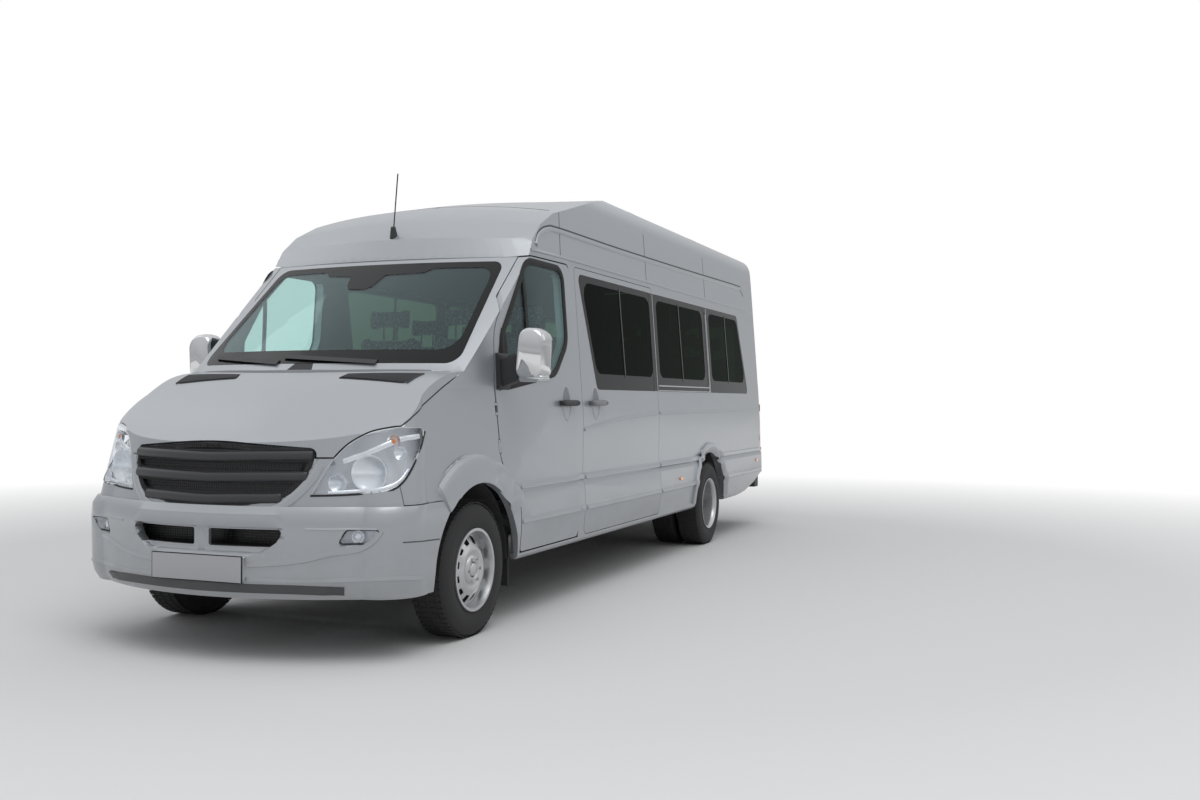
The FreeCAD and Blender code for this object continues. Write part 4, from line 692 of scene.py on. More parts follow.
def ribbon_mesh(name: str, path: Plan, view: "View | PhotoCamera", nodes: Sequence[str], width: float,
                height: float, sink: float = 0.003, closed: bool = False, step: float = 0.02,
                section: Plan = BEAD) -> bpy.types.Mesh:
    """Sweep a small section along a path on the skin.

    Args:
        name: the mesh's name.
        path: its points as the view shows them.
        view: the direction that it is laid in.
        nodes: the nodes that it lies on.
        width: how wide it is.
        height: how far it stands off the skin.
        sink: how far it reaches into the skin.
        closed: whether it runs round to its start.
        step: distance between sections.
        section: across and up, as shares of the width, the height and the sink.

    Returns:
        The mesh, in place.
    """
    spots = [SKINS.set_on(view, spot, nodes) for spot in even(path, step, closed)]
    count, ring = len(spots), len(section)
    places = []
    for index, (place, _) in enumerate(spots):
        before = spots[index - 1] if closed or index > 0 else spots[index]
        after = spots[(index + 1) % count] if closed or index < count - 1 else spots[index]
        normal = (before[1] + spots[index][1] * 2 + after[1]).normalized()
        along = (after[0] - before[0]).normalized()
        aside = along.cross(normal).normalized()
        for across, up in section:
            places.append(place + aside * (across * width) + normal * (up * (height if up > 0 else sink)))
    faces = []
    for index in range(count if closed else count - 1):
        here, ahead = index * ring, ((index + 1) % count) * ring
        for number in range(ring):
            other = (number + 1) % ring
            faces.append([here + number, here + other, ahead + other, ahead + number])
    if not closed:
        faces.append(list(range(ring)))
        faces.append([(count - 1) * ring + number for number in reversed(range(ring))])
    return closed_mesh(name, places, faces)


def middle_of(outline: Plan) -> Vector:
    """Give the mean of an outline's points."""
    return sum((Vector(spot) for spot in outline), Vector((0, 0))) / len(outline)


def loft_mesh(name: str, rings: Sequence[Sequence[Vector]]) -> bpy.types.Mesh:
    """Join rings of as many points into a closed mesh, with a face at each end."""
    count, last = len(rings[0]), (len(rings) - 1) * len(rings[0])
    faces = []
    for base in range(0, last, count):
        for index in range(count):
            after = (index + 1) % count
            faces.append([base + index, base + after, base + count + after, base + count + index])
    faces.append(list(range(count)))
    faces.append([last + index for index in reversed(range(count))])
    return closed_mesh(name, [place for ring in rings for place in ring], faces)


def lathe_mesh(name: str, profile: Plan, centre: Vector, axis: Vector, turns: int = 96) -> bpy.types.Mesh:
    """Turn a closed profile round an axis.

    Args:
        name: the mesh's name.
        profile: radius and distance along the axis of each corner, all round.
        centre: the origin of the profile.
        axis: the axis's direction.
        turns: facets round the axis.

    Returns:
        The mesh, in place.
    """
    axis = axis.normalized()
    first = axis.orthogonal().normalized()
    second = axis.cross(first)
    count = len(profile)
    places = []
    for number in range(turns):
        angle = math.tau * number / turns
        out = first * math.cos(angle) + second * math.sin(angle)
        places.extend(centre + out * radius + axis * along for radius, along in profile)
    faces = []
    for number in range(turns):
        here, ahead = number * count, ((number + 1) % turns) * count
        for index in range(count):
            other = (index + 1) % count
            if max(profile[index][0], profile[other][0]) > 1e-6:
                faces.append([here + index, here + other, ahead + other, ahead + index])
    work = bmesh.new()
    corners = [work.verts.new(place) for place in places]
    for face in faces:
        work.faces.new([corners[index] for index in face])
    bmesh.ops.remove_doubles(work, verts=work.verts, dist=1e-6)
    bmesh.ops.dissolve_degenerate(work, edges=work.edges, dist=1e-7)
    return mesh_from(work, name)


def joined(name: str, meshes: Sequence[bpy.types.Mesh]) -> bpy.types.Mesh:
    """Join meshes into one."""
    work = bmesh.new()
    for mesh in meshes:
        work.from_mesh(mesh)
        bpy.data.meshes.remove(mesh)
    return mesh_from(work, name, mend=False)


def block_mesh(name: str, low: Vector, high: Vector, round_by: float = 0.0,
               turn: Optional[Matrix] = None) -> bpy.types.Mesh:
    """Make a block with rounded edges.

    Args:
        name: the mesh's name.
        low: its lowest corner.
        high: its highest corner.
        round_by: radius of its edges.
        turn: a turn about its middle.

    Returns:
        The mesh, in place.
    """
    work = bmesh.new()
    bmesh.ops.create_cube(work, size=1.0)
    size = high - low
    bmesh.ops.scale(work, vec=size, verts=work.verts)
    if round_by > 0:
        bmesh.ops.bevel(
            work, geom=work.edges[:], offset=min(round_by, min(size) * 0.49), segments=3, profile=0.5,
            affect="EDGES", clamp_overlap=True)
    if turn is not None:
        bmesh.ops.transform(work, matrix=turn.to_4x4(), verts=work.verts)
    bmesh.ops.translate(work, vec=(low + high) / 2, verts=work.verts)
    return mesh_from(work, name)


class Repeat:
    """A Geometry Nodes tree that repeats one small shape, made into a plain mesh."""

    def __init__(self, name: str, finish: Finish) -> None:
        """Start the tree with its output."""
        self.name, self.finish = name, finish
        self.tree = bpy.data.node_groups.new(name, "GeometryNodeTree")
        self.tree.interface.new_socket("Geometry", in_out="OUTPUT", socket_type="NodeSocketGeometry")
        self.inlet = self.tree.nodes.new("NodeGroupInput")
        self.outlet = self.tree.nodes.new("NodeGroupOutput")
        self.values: dict[str, object] = {}

    def named(self, label: str, kind: str, value: object) -> bpy.types.NodeSocket:
        """Add a named input of the tree.

        Args:
            label: the input's name.
            kind: Float, Int or Vector.
            value: what this repeat sets it to.

        Returns:
            The socket that carries it inside the tree.
        """
        socket = self.tree.interface.new_socket(label, in_out="INPUT", socket_type="NodeSocket" + kind)
        self.values[socket.identifier] = value
        return self.inlet.outputs[label]

    def node(self, kind: str, settings: Optional[dict] = None, **inputs: object) -> bpy.types.Node:
        """Add a node; inputs are values or sockets by name with underscores for spaces."""
        made = self.tree.nodes.new(kind)
        for key, value in (settings or {}).items():
            setattr(made, key, value)
        for key, value in inputs.items():
            socket = made.inputs[key.replace("_", " ")]
            if isinstance(value, bpy.types.NodeSocket):
                self.tree.links.new(value, socket)
            else:
                socket.default_value = value
        return made

    def mesh(self, points: bpy.types.NodeSocket, shape: bpy.types.NodeSocket,
             rotation: object = (0, 0, 0)) -> bpy.types.Mesh:
        """Put the shape on every point and give the plain mesh.

        Args:
            points: the geometry whose points carry the shape.
            shape: the shape's geometry.
            rotation: the turn of each, a value or a socket.

        Returns:
            The mesh, with its instances made real.
        """
        placed = self.node("GeometryNodeInstanceOnPoints", Points=points, Instance=shape, Rotation=rotation)
        real = self.node("GeometryNodeRealizeInstances", Geometry=placed.outputs[0])
        dressed = self.node(
            "GeometryNodeSetMaterial", Geometry=real.outputs[0], Material=self.finish.material())
        self.tree.links.new(dressed.outputs[0], self.outlet.inputs[0])
        carrier = bpy.data.objects.new(self.name, bpy.data.meshes.new(self.name))
        bpy.context.scene.collection.objects.link(carrier)
        modifier = carrier.modifiers.new(self.name, "NODES")
        modifier.node_group = self.tree
        for identifier, value in self.values.items():
            modifier[identifier] = value
        bpy.context.view_layer.update()
        evaluated = carrier.evaluated_get(bpy.context.evaluated_depsgraph_get())
        result = bpy.data.meshes.new_from_object(evaluated)
        carrier.modifiers.clear()
        bpy.data.objects.remove(carrier)
        return result


def row_of_bars(name: str, finish: Finish, count: int, start: Vector, offset: Vector, size: Point,
                turn: Point = (0, 0, 0)) -> bpy.types.Mesh:
    """Repeat a bar along a line.

    Args:
        name: the mesh's name.
        finish: its finish.
        count: how many bars.
        start: the middle of the first.
        offset: from each to the next.
        size: a bar's size.
        turn: a bar's turn.

    Returns:
        The mesh, in place.
    """
    work = Repeat(name, finish)
    line = work.node(
        "GeometryNodeMeshLine", Count=work.named("Count", "Int", count),
        Start_Location=work.named("Start", "Vector", tuple(start)),
        Offset=work.named("Offset", "Vector", tuple(offset)))
    bar = work.node("GeometryNodeMeshCube", Size=work.named("Bar size", "Vector", size))
    return work.mesh(line.outputs[0], bar.outputs[0], turn)


def ring_of_pegs(name: str, finish: Finish, count: int, radius: float, peg: float, length: float, sides: int,
                 centre: Vector, axis_y: float) -> bpy.types.Mesh:
    """Repeat a peg round a wheel's axle, which lies along y.

    Args:
        name: the mesh's name.
        finish: its finish.
        count: how many pegs.
        radius: of the circle that they stand on.
        peg: a peg's radius.
        length: a peg's length.
        sides: a peg's sides.
        centre: the circle's middle.
        axis_y: 1 or -1, the side the pegs point to.

    Returns:
        The mesh, in place.
    """
    work = Repeat(name, finish)
    ring = work.node(
        "GeometryNodeMeshCircle", Vertices=work.named("Count", "Int", count),
        Radius=work.named("Circle radius", "Float", radius))
    shape = work.node(
        "GeometryNodeMeshCylinder", Vertices=work.named("Sides", "Int", sides),
        Radius=work.named("Peg radius", "Float", peg), Depth=work.named("Peg length", "Float", length))
    mesh = work.mesh(ring.outputs[0], shape.outputs[0])
    mesh.transform(Matrix.Translation(centre) @ Matrix.Rotation(-axis_y * math.pi / 2, 4, "X"))
    return mesh


@dataclass
class Shell:
    """The body panels: copies of the frame's loose triangles, merged so that they shade smoothly."""

    smooth_deg: float = 24.0
    join_distance: float = 2e-5
    lined: tuple[str, ...] = (
        "roof", "cab_frame", "sliding_door", "side_wall_left", "side_wall_right", "front_door_left",
        "front_door_right", "rear_door_left", "rear_door_right")
    cabin_middle: float = 1.45
    inwards_from: float = 0.35

    def merged_copy(self, node: str) -> bpy.types.Mesh:
        """Copy a node's mesh with its doubled corners merged."""
        work = bmesh.new()
        work.from_mesh(frame["nodes"][node].data)
        bmesh.ops.remove_doubles(work, verts=work.verts, dist=self.join_distance)
        bmesh.ops.dissolve_degenerate(work, edges=work.edges, dist=1e-6)
        mesh = bpy.data.meshes.new(node + "_skin")
        work.to_mesh(mesh)
        work.free()
        return mesh

    def line(self, mesh: bpy.types.Mesh) -> None:
        """Give the faces that look into the cabin their dark lining, partly painted shade of the cabin."""
        mesh.materials.append(LINING_AND_CABIN_SHADE.material())
        for face in mesh.polygons:
            inwards = Vector((0, -face.center.y, self.cabin_middle - face.center.z))
            if "rear_door" in mesh.name:
                inwards = Vector((1, 0, 0))
            if face.normal.dot(inwards.normalized()) > self.inwards_from:
                face.material_index = 1

    def dress(self) -> None:
        """Give every node of the frame its finish."""
        for finish, nodes in NODE_FINISHES.items():
            for node in nodes:
                skin = finished(
                    node + "_skin", self.merged_copy(node), finish, body_of_node(node), self.smooth_deg)
                if node in self.lined:
                    self.line(skin.data)
                even = skin.modifiers.new("even_shading", "WEIGHTED_NORMAL")
                even.keep_sharp = True
                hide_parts(node)


@dataclass(frozen=True)
class PhotoCamera:
    """The photograph's own viewpoint, found from the number plate and the wheels."""

    place: Point = (5.432, 3.796, 1.237)
    yaw_deg: float = 201.533
    pitch_deg: float = 0.035
    roll_deg: float = 0.194
    lens_mm: float = 34.90
    focus_px: float = 1163.33
    middle: tuple[float, float] = (600.0, 400.0)

    def axes(self) -> tuple[Vector, Vector, Vector]:
        """Give the directions to the right of the picture, up it and into it."""
        yaw, pitch, roll = (math.radians(v) for v in (self.yaw_deg, self.pitch_deg, self.roll_deg))
        ahead = Vector((math.cos(yaw) * math.cos(pitch), math.sin(yaw) * math.cos(pitch), math.sin(pitch)))
        level = Vector((math.sin(yaw), -math.cos(yaw), 0))
        upright = level.cross(ahead)
        right = level * math.cos(roll) + upright * math.sin(roll)
        above = upright * math.cos(roll) - level * math.sin(roll)
        return right, above, ahead

    def line(self, u: float, v: float) -> tuple[Vector, Vector]:
        """Give the line from the camera through a point of the photograph.

        Args:
            u: pixels from the photograph's left edge.
            v: pixels down from its upper edge.

        Returns:
            The camera's place and the line's direction.
        """
        right, above, ahead = self.axes()
        across = right * ((u - self.middle[0]) / self.focus_px)
        up = above * ((self.middle[1] - v) / self.focus_px)
        return at(*self.place), (ahead + across + up).normalized()

    def build(self) -> None:
        """Make the camera and let the scene use it."""
        right, above, ahead = self.axes()
        data = bpy.data.cameras.new("photo_camera")
        data.sensor_width = 36
        data.lens = self.lens_mm
        data.clip_end = 300
        camera = bpy.data.objects.new("photo_camera", data)
        turn = Matrix((right, above, -ahead)).transposed().to_4x4()
        camera.matrix_world = Matrix.Translation(at(*self.place)) @ turn
        bpy.context.scene.collection.objects.link(camera)
        bpy.context.scene.camera = camera


PHOTO = PhotoCamera()


def mirrored(mesh: bpy.types.Mesh) -> bpy.types.Mesh:
    """Copy a mesh to the vehicle's other side."""
    other = mesh.copy()
    other.transform(Matrix.Scale(-1, 4, (0, 1, 0)))
    other.flip_normals()
    return other


def inset(corners: Sequence[Corner], by: Sequence[float], extra: float = 0.0) -> list[Corner]:
    """Move an outline's sides inwards.

    Args:
        corners: across, up and radius of each corner.
        by: how far each side moves in, the side after each corner in turn.
        extra: what each radius grows by.

    Returns:
        The corners of the smaller outline.
    """
    spots = [Vector(c[:2]) for c in corners]
    count = len(spots)
    turn = sum(a.x * b.y - b.x * a.y for a, b in zip(spots, spots[1:] + spots[:1]))
    sides = []
    for index in range(count):
        along = (spots[(index + 1) % count] - spots[index]).normalized()
        inwards = Vector((-along.y, along.x)) * (1 if turn > 0 else -1)
        sides.append((spots[index] + inwards * by[index % len(by)], along))
    result = []
    for index in range(count):
        (a, da), (b, db) = sides[index - 1], sides[index]
        cross = da.x * db.y - da.y * db.x
        if abs(cross) < 1e-6:
            spot = b
        else:
            gap = b - a
            spot = a + da * ((gap.x * db.y - gap.y * db.x) / cross)
        result.append((spot.x, spot.y, max(corners[index][2] + extra, 0.0)))
    return result


# the frame's window outlines: across, up and radius, in metres from the front axle
SCREEN_OPENING = ((-0.838, 1.432, 0.06), (0.838, 1.432, 0.06), (0.778, 2.052, 0.07), (-0.778, 2.052, 0.07))
DOOR_WINDOW = (
    (-0.405, 1.325, 0.025), (-0.405, 1.590, 0.06), (-0.735, 2.042, 0.12), (-1.222, 2.042, 0.07),
    (-1.225, 1.600, 0.14), (-1.030, 1.415, 0.14))
WAIST, WINDOW_TOP = 1.310, 2.055
SIDE_WINDOWS = (
    (-1.490, -1.715, -2.925, -2.925), (-2.985, -2.985, -4.370, -4.370), (-4.420, -4.420, -5.705, -5.460))
REAR_WINDOW = ((0.110, WAIST, 0.05), (0.720, WAIST, 0.05), (0.705, 2.030, 0.06), (0.110, 2.030, 0.05))


@dataclass
class Glazing:
    """Printed glass edges, rubbers, bars and the lines between the side windows."""

    side_frit: float = 0.030
    foot_frit: float = 0.105
    top_frit: float = 0.045
    rubber: float = 0.040
    screen_frit: float = 0.040

    def screen(self) -> None:
        """Print the windscreen's black edge and the patch of its sensor."""
        outer = [(u * 0.998, v + (0.001 if v < 1.7 else -0.001), r) for u, v, r in SCREEN_OPENING]
        inner = inset(outer, (0.075, self.screen_frit, 0.038, self.screen_frit), 0.02)
        frit = band_mesh(
            "frit", rounded(outer, side=14), rounded(inner, side=14), View.FRONT, ("windscreen", "cab_frame"),
            0.0012, 0.002)
        sensor = patch_mesh(
            "sensor", [
                (-0.40, 2.025), (-0.33, 1.985), (-0.155, 1.975), (-0.125, 1.905), (-0.09, 1.885),
                (0.02, 1.885), (0.055, 1.905), (0.085, 1.975), (0.33, 1.985), (0.40, 2.025)], View.FRONT,
            ("windscreen",), 0.0014, 0.002)
        piece = finished(
            "windscreen_edge_print", joined("windscreen_edge_print", [frit, sensor]), FRIT, "body")

    def pane(self, corners: tuple[float, float, float, float]) -> list[Corner]:
        """Give a side window's outline: lower front, lower rear, upper rear, upper front."""
        front_top, front_foot, rear_foot, rear_top = corners
        return [
            (front_foot, WAIST, 0.05), (rear_foot, WAIST, 0.05), (rear_top, WINDOW_TOP, 0.05),
            (front_top, WINDOW_TOP, 0.05)]

    def side_windows(self, side: Side) -> None:
        """Print one side's panes, close the gaps between them and add their bars."""
        view, wall = SIDE_VIEWS[side], ("side_glass", "side_wall_" + side.word) + (
            ("sliding_door",) if side is Side.LEFT else ())
        prints, bars = [], []
        for index, corners in enumerate(SIDE_WINDOWS):
            outer = self.pane(corners)
            sides = [
                self.foot_frit, self.side_frit * (3.4 if index == 1 else 1.4), self.top_frit,
                self.side_frit * 1.3]
            inner = inset(outer, sides, 0.04)
            prints.append(band_mesh(
                "frit", rounded(outer, side=10), rounded(inner, side=10), view, wall, 0.0012, 0.002))
        for front, rear in ((-2.925, -2.985), (-4.370, -4.420)):
            outline = [
                (front + 0.05, WAIST + 0.002), (rear - 0.05, WAIST + 0.002),
                (rear - 0.05, WINDOW_TOP - 0.002), (front + 0.05, WINDOW_TOP - 0.002)]
            prints.append(patch_mesh("pillar", outline, view, wall, 0.0020, 0.002, 0.05))
            middle = (front + rear) / 2
            bars.append(ribbon_mesh(
                "line", [(middle, WAIST - 0.004), (middle, WINDOW_TOP - 0.01)], view, wall, 0.007, 0.0045,
                section=FLAT))
        for x, foot, top in ((-2.26, WAIST + 0.09, WINDOW_TOP - 0.03),
                             (-3.62, WAIST + 0.08, WINDOW_TOP - 0.03),
                             (-5.02, WAIST + 0.09, WINDOW_TOP - 0.03)):
            prints.append(ribbon_mesh(
                "bar", [(x, foot), (x + 0.02, top)], view, wall, 0.024, 0.003, section=FLAT))
        bars.append(ribbon_mesh(
            "hopper", [(-2.975, 1.352), (-4.385, 1.352)], view, wall, 0.010, 0.006, section=FLAT))
        bars.append(ribbon_mesh(
            "hopper", [(-2.975, 1.316), (-4.385, 1.316)], view, wall, 0.007, 0.005, section=FLAT))
        piece = finished(f"side_window_print_{side.word}", joined("prints", prints), FRIT, "body")
        piece = finished(f"side_window_lines_{side.word}", joined("lines", bars), BRIGHT_LINE, "body")

    def door_window(self, side: Side) -> None:
        """Frame a front door's window with rubber and quarter bar, and cover the mirror's corner."""
        view = SIDE_VIEWS[side]
        skin = ("front_door_" + side.word, "front_door_glass_" + side.word)
        outer = inset(list(DOOR_WINDOW), (-0.014,), 0.012)
        rubber = ribbon_mesh(
            "rubber", rounded(outer, side=8), view, skin, self.rubber, 0.009, closed=True, step=0.015)
        bar = ribbon_mesh(
            "bar", [(-0.665, 1.972), (-0.683, 1.80), (-0.690, 1.62), (-0.692, 1.345)], view, skin, 0.030,
            0.008, section=FLAT)
        sail = patch_mesh(
            "sail", [
                (-0.350, 1.290), (-0.345, 1.470), (-0.392, 1.640), (-0.430, 1.640), (-0.448, 1.560),
                (-0.448, 1.318)], view, skin, 0.004, 0.002, 0.03)
        piece = finished(
            f"door_window_rubber_{side.word}", joined("rubber", [rubber, bar, sail]), SEAL,
            "front_door_" + side.word)

    def rear_windows(self, side: Side) -> None:
        """Print and frame one rear door's window."""
        corners = [(u * side.value, v, r) for u, v, r in REAR_WINDOW]
        skin = ("rear_door_" + side.word, "rear_door_glass_" + side.word)
        inner = inset(corners, (0.06, 0.03, 0.03, 0.03), 0.03)
        frit = band_mesh(
            "frit", rounded(corners, side=8), rounded(inner, side=8), View.REAR, skin, 0.0012, 0.002)
        rubber = ribbon_mesh(
            "rubber", rounded(inset(corners, (-0.006,), 0.004)), View.REAR, skin, 0.018, 0.005, closed=True)
        piece = finished(
            f"rear_window_print_{side.word}", joined("print", [frit, rubber]), FRIT, "rear_door_" + side.word)

    def build(self) -> None:
        """Make every pane's edges."""
        self.screen()
        for side in Side:
            self.side_windows(side)
            self.door_window(side)
            self.rear_windows(side)


@dataclass
class SideTrim:
    """Handles, markers, creases, painted shade in the roof grooves and the rear arches' flares."""

    handle_level: float = 1.222
    crease_width: float = 0.030
    hub_level: float = 0.35
    seam_width: float = 0.005
    roof_seams: tuple[tuple[float, float], ...] = ((-1.235, -1.275), (-2.86, -2.88), (-4.42, -4.44))

    def arch(self, middle: float, radius: float, degrees: range) -> list[tuple[float, float]]:
        """Give points of an arch over a wheel.

        Args:
            middle: its middle, along the vehicle.
            radius: its radius.
            degrees: angles of its points.

        Returns:
            The points, as the side views show them.
        """
        turns = [math.radians(degree) for degree in degrees]
        return [(middle + radius * math.cos(a), self.hub_level + radius * math.sin(a)) for a in turns]

    def handle(self, side: Side, x_front: float, x_rear: float, node: str, finish: Finish) -> None:
        """Set a pull handle in its oval cup, with painted shade on the cup's upper half.

        Args:
            side: the side of the vehicle.
            x_front: the bar's front end.
            x_rear: its rear end.
            node: the node that carries it.
            finish: the bar's finish.
        """
        view, middle, body = SIDE_VIEWS[side], (x_front + x_rear) / 2, body_of_node(node)
        level, turns = self.handle_level, [math.tau * number / 40 for number in range(40)]
        oval = [(middle + 0.062 * math.cos(a), level + 0.105 * math.sin(a)) for a in turns]
        rim = ribbon_mesh("rim", oval, view, (node,), 0.012, 0.003, closed=True, step=0.012)
        # a darker sheet on the cup's upper half: painted shade under its lip
        upper = patch_mesh(
            "cup", [(u, v) for u, v in oval if v > level + 0.002], view, (node,), 0.0010, 0.002, 0.03)
        piece = finished(f"handle_cup_rim_{node}_{side.word}", rim, SILVER, body)
        piece = finished(f"handle_cup_{node}_{side.word}", upper, CUP_PAINTED_SHADE, body)
        place, _ = SKINS.set_on(view, (middle, level), (node,))
        out = -view.into
        profile = [
            (0.0, -0.5), (0.55, -0.49), (0.9, -0.45), (1.0, -0.36), (1.0, 0.36), (0.9, 0.45), (0.55, 0.49),
            (0.0, 0.5)]
        length = x_front - x_rear
        bar = lathe_mesh(
            "bar", [(r * 0.019, a * length) for r, a in profile], place + out * 0.028, Vector((1, 0, 0)), 28)
        feet = [
            block_mesh(
                "foot", Vector((AXLE_X + x - 0.018, min(place.y, place.y + out.y * 0.03), level - 0.015)),
                Vector((AXLE_X + x + 0.018, max(place.y, place.y + out.y * 0.03), level + 0.015)), 0.006)
            for x in (x_front - 0.030, x_rear + 0.030)]
        lock = lathe_mesh(
            "lock", [(0, 0.0), (0.008, 0.0), (0.008, 0.003), (0, 0.003)],
            place + out * 0.047 + Vector((-length * 0.38, 0, 0)), out, 20)
        piece = finished(f"handle_{node}_{side.word}", joined("handle", [bar, lock] + feet), finish, body)

    def markers(self, side: Side) -> None:
        """Set the amber side markers low on the wall."""
        view = SIDE_VIEWS[side]
        walls = ("side_wall_" + side.word,
                 "front_door_" + side.word) + (("sliding_door",) if side is Side.LEFT else ())
        meshes = []
        for x, z in ((-3.462, 0.617), (-5.952, 0.654)):
            outline = rounded([
                (x - 0.038, z - 0.011, 0.01), (x + 0.038, z - 0.011, 0.01), (x + 0.038, z + 0.011, 0.01),
                (x - 0.038, z + 0.011, 0.01)])
            meshes.append(patch_mesh("marker", outline, view, walls, 0.009, 0.002, 0.03))
        piece = finished(f"side_markers_{side.word}", joined("markers", meshes), AMBER, "body")

    def roof_lines(self, side: Side) -> None:
        """Lay a dark ribbon of painted shade in the groove along the roof's side and draw its panel seams."""
        view = SIDE_VIEWS[side]
        groove = curve_through([
            (-0.875, 2.185), (-0.93, 2.25), (-1.06, 2.30), (-1.275, 2.315), (-2.319, 2.318), (-3.9, 2.335),
            (-5.516, 2.358), (-5.72, 2.345), (-5.80, 2.30)])
        # the groove's dark ribbon is painted shade; the seams are dark joints
        lines = [ribbon_mesh("groove", groove, view, ("roof",), 0.016, 0.0015, section=FLAT)]
        for foot, top in self.roof_seams:
            lines.append(ribbon_mesh(
                "seam", [(foot, 2.135), ((foot + top) / 2, 2.32), (top, 2.50)], view, ("roof",),
                self.seam_width, 0.001, section=FLAT))
            lines.append(ribbon_mesh(
                "seam", [(top, 0.0), (top, 0.80 * side.value)], View.TOP, ("roof",), self.seam_width, 0.001,
                section=FLAT))
        piece = finished(f"roof_lines_{side.word}", joined("lines", lines), JOINT_SHADE, "body")
        lips = [ribbon_mesh("lip", [(u, v - 0.019) for u, v in groove], view, ("roof",), 0.030, 0.009)]
        gutter = [(-0.80, 2.128), (-1.35, 2.134), (-5.86, 2.134)]
        lips.append(ribbon_mesh("gutter", gutter, view, ("roof", "side_wall_" + side.word), 0.020, 0.010))
        piece = finished(f"roof_lips_{side.word}", joined("lips", lips), SILVER, "body")

    def creases(self, side: Side) -> None:
        """Raise the sweeping crease, the sill ribs and the rear arch's flare."""
        view, word = SIDE_VIEWS[side], side.word
        wall = "side_wall_" + word
        long_panel = "sliding_door" if side is Side.LEFT else wall
        sweep = curve_through([(-1.46, 1.055), (-2.031, 1.109), (-2.50, 1.135), (-2.935, 1.147)])
        rear = curve_through([(-2.965, 1.148), (-3.6, 1.153), (-4.9, 1.155), (-5.95, 1.157)])
        jobs = [
            (long_panel, sweep), (wall, rear), (long_panel, [(-1.455, 0.752), (-2.935, 0.752)]),
            (wall, [(-2.965, 0.752), (-3.76, 0.752)]), (long_panel, [(-1.455, 0.557), (-2.935, 0.557)]),
            (wall, [(-2.965, 0.557), (-3.85, 0.557)]),
            ("front_door_" + word, [(-0.50, 0.752), (-1.335, 0.752)]),
            ("front_door_" + word, [(-0.515, 0.557), (-1.335, 0.557)])]
        meshes: dict[str, list[bpy.types.Mesh]] = {}
        for node, path in jobs:
            meshes.setdefault(body_of_node(node), []).append(ribbon_mesh(
                "crease", path, view, (node,), self.crease_width, 0.007, section=STEP))
        flare = self.arch(REAR_X, 0.485, range(4, 177, 4))
        meshes["body"].append(ribbon_mesh("flare", flare, view, (wall,), 0.085, 0.026, section=FLARE))
        arch = self.arch(-0.015, 0.530, range(24, 150, 3))
        meshes["body"].append(ribbon_mesh("arch", arch, view, ("wings",), 0.150, 0.016, section=FLARE))
        for body, parts in meshes.items():
            piece = finished(f"side_creases_{body}_{word}", joined("creases", parts), SILVER, body)

    def build(self) -> None:
        """Make both sides' trim."""
        for side in Side:
            self.handle(side, -1.055, -1.305, "front_door_" + side.word, TRIM_BLACK)
            self.markers(side)
            self.roof_lines(side)
            self.creases(side)
        self.handle(Side.LEFT, -1.535, -1.795, "sliding_door", HANDLE_GREY)


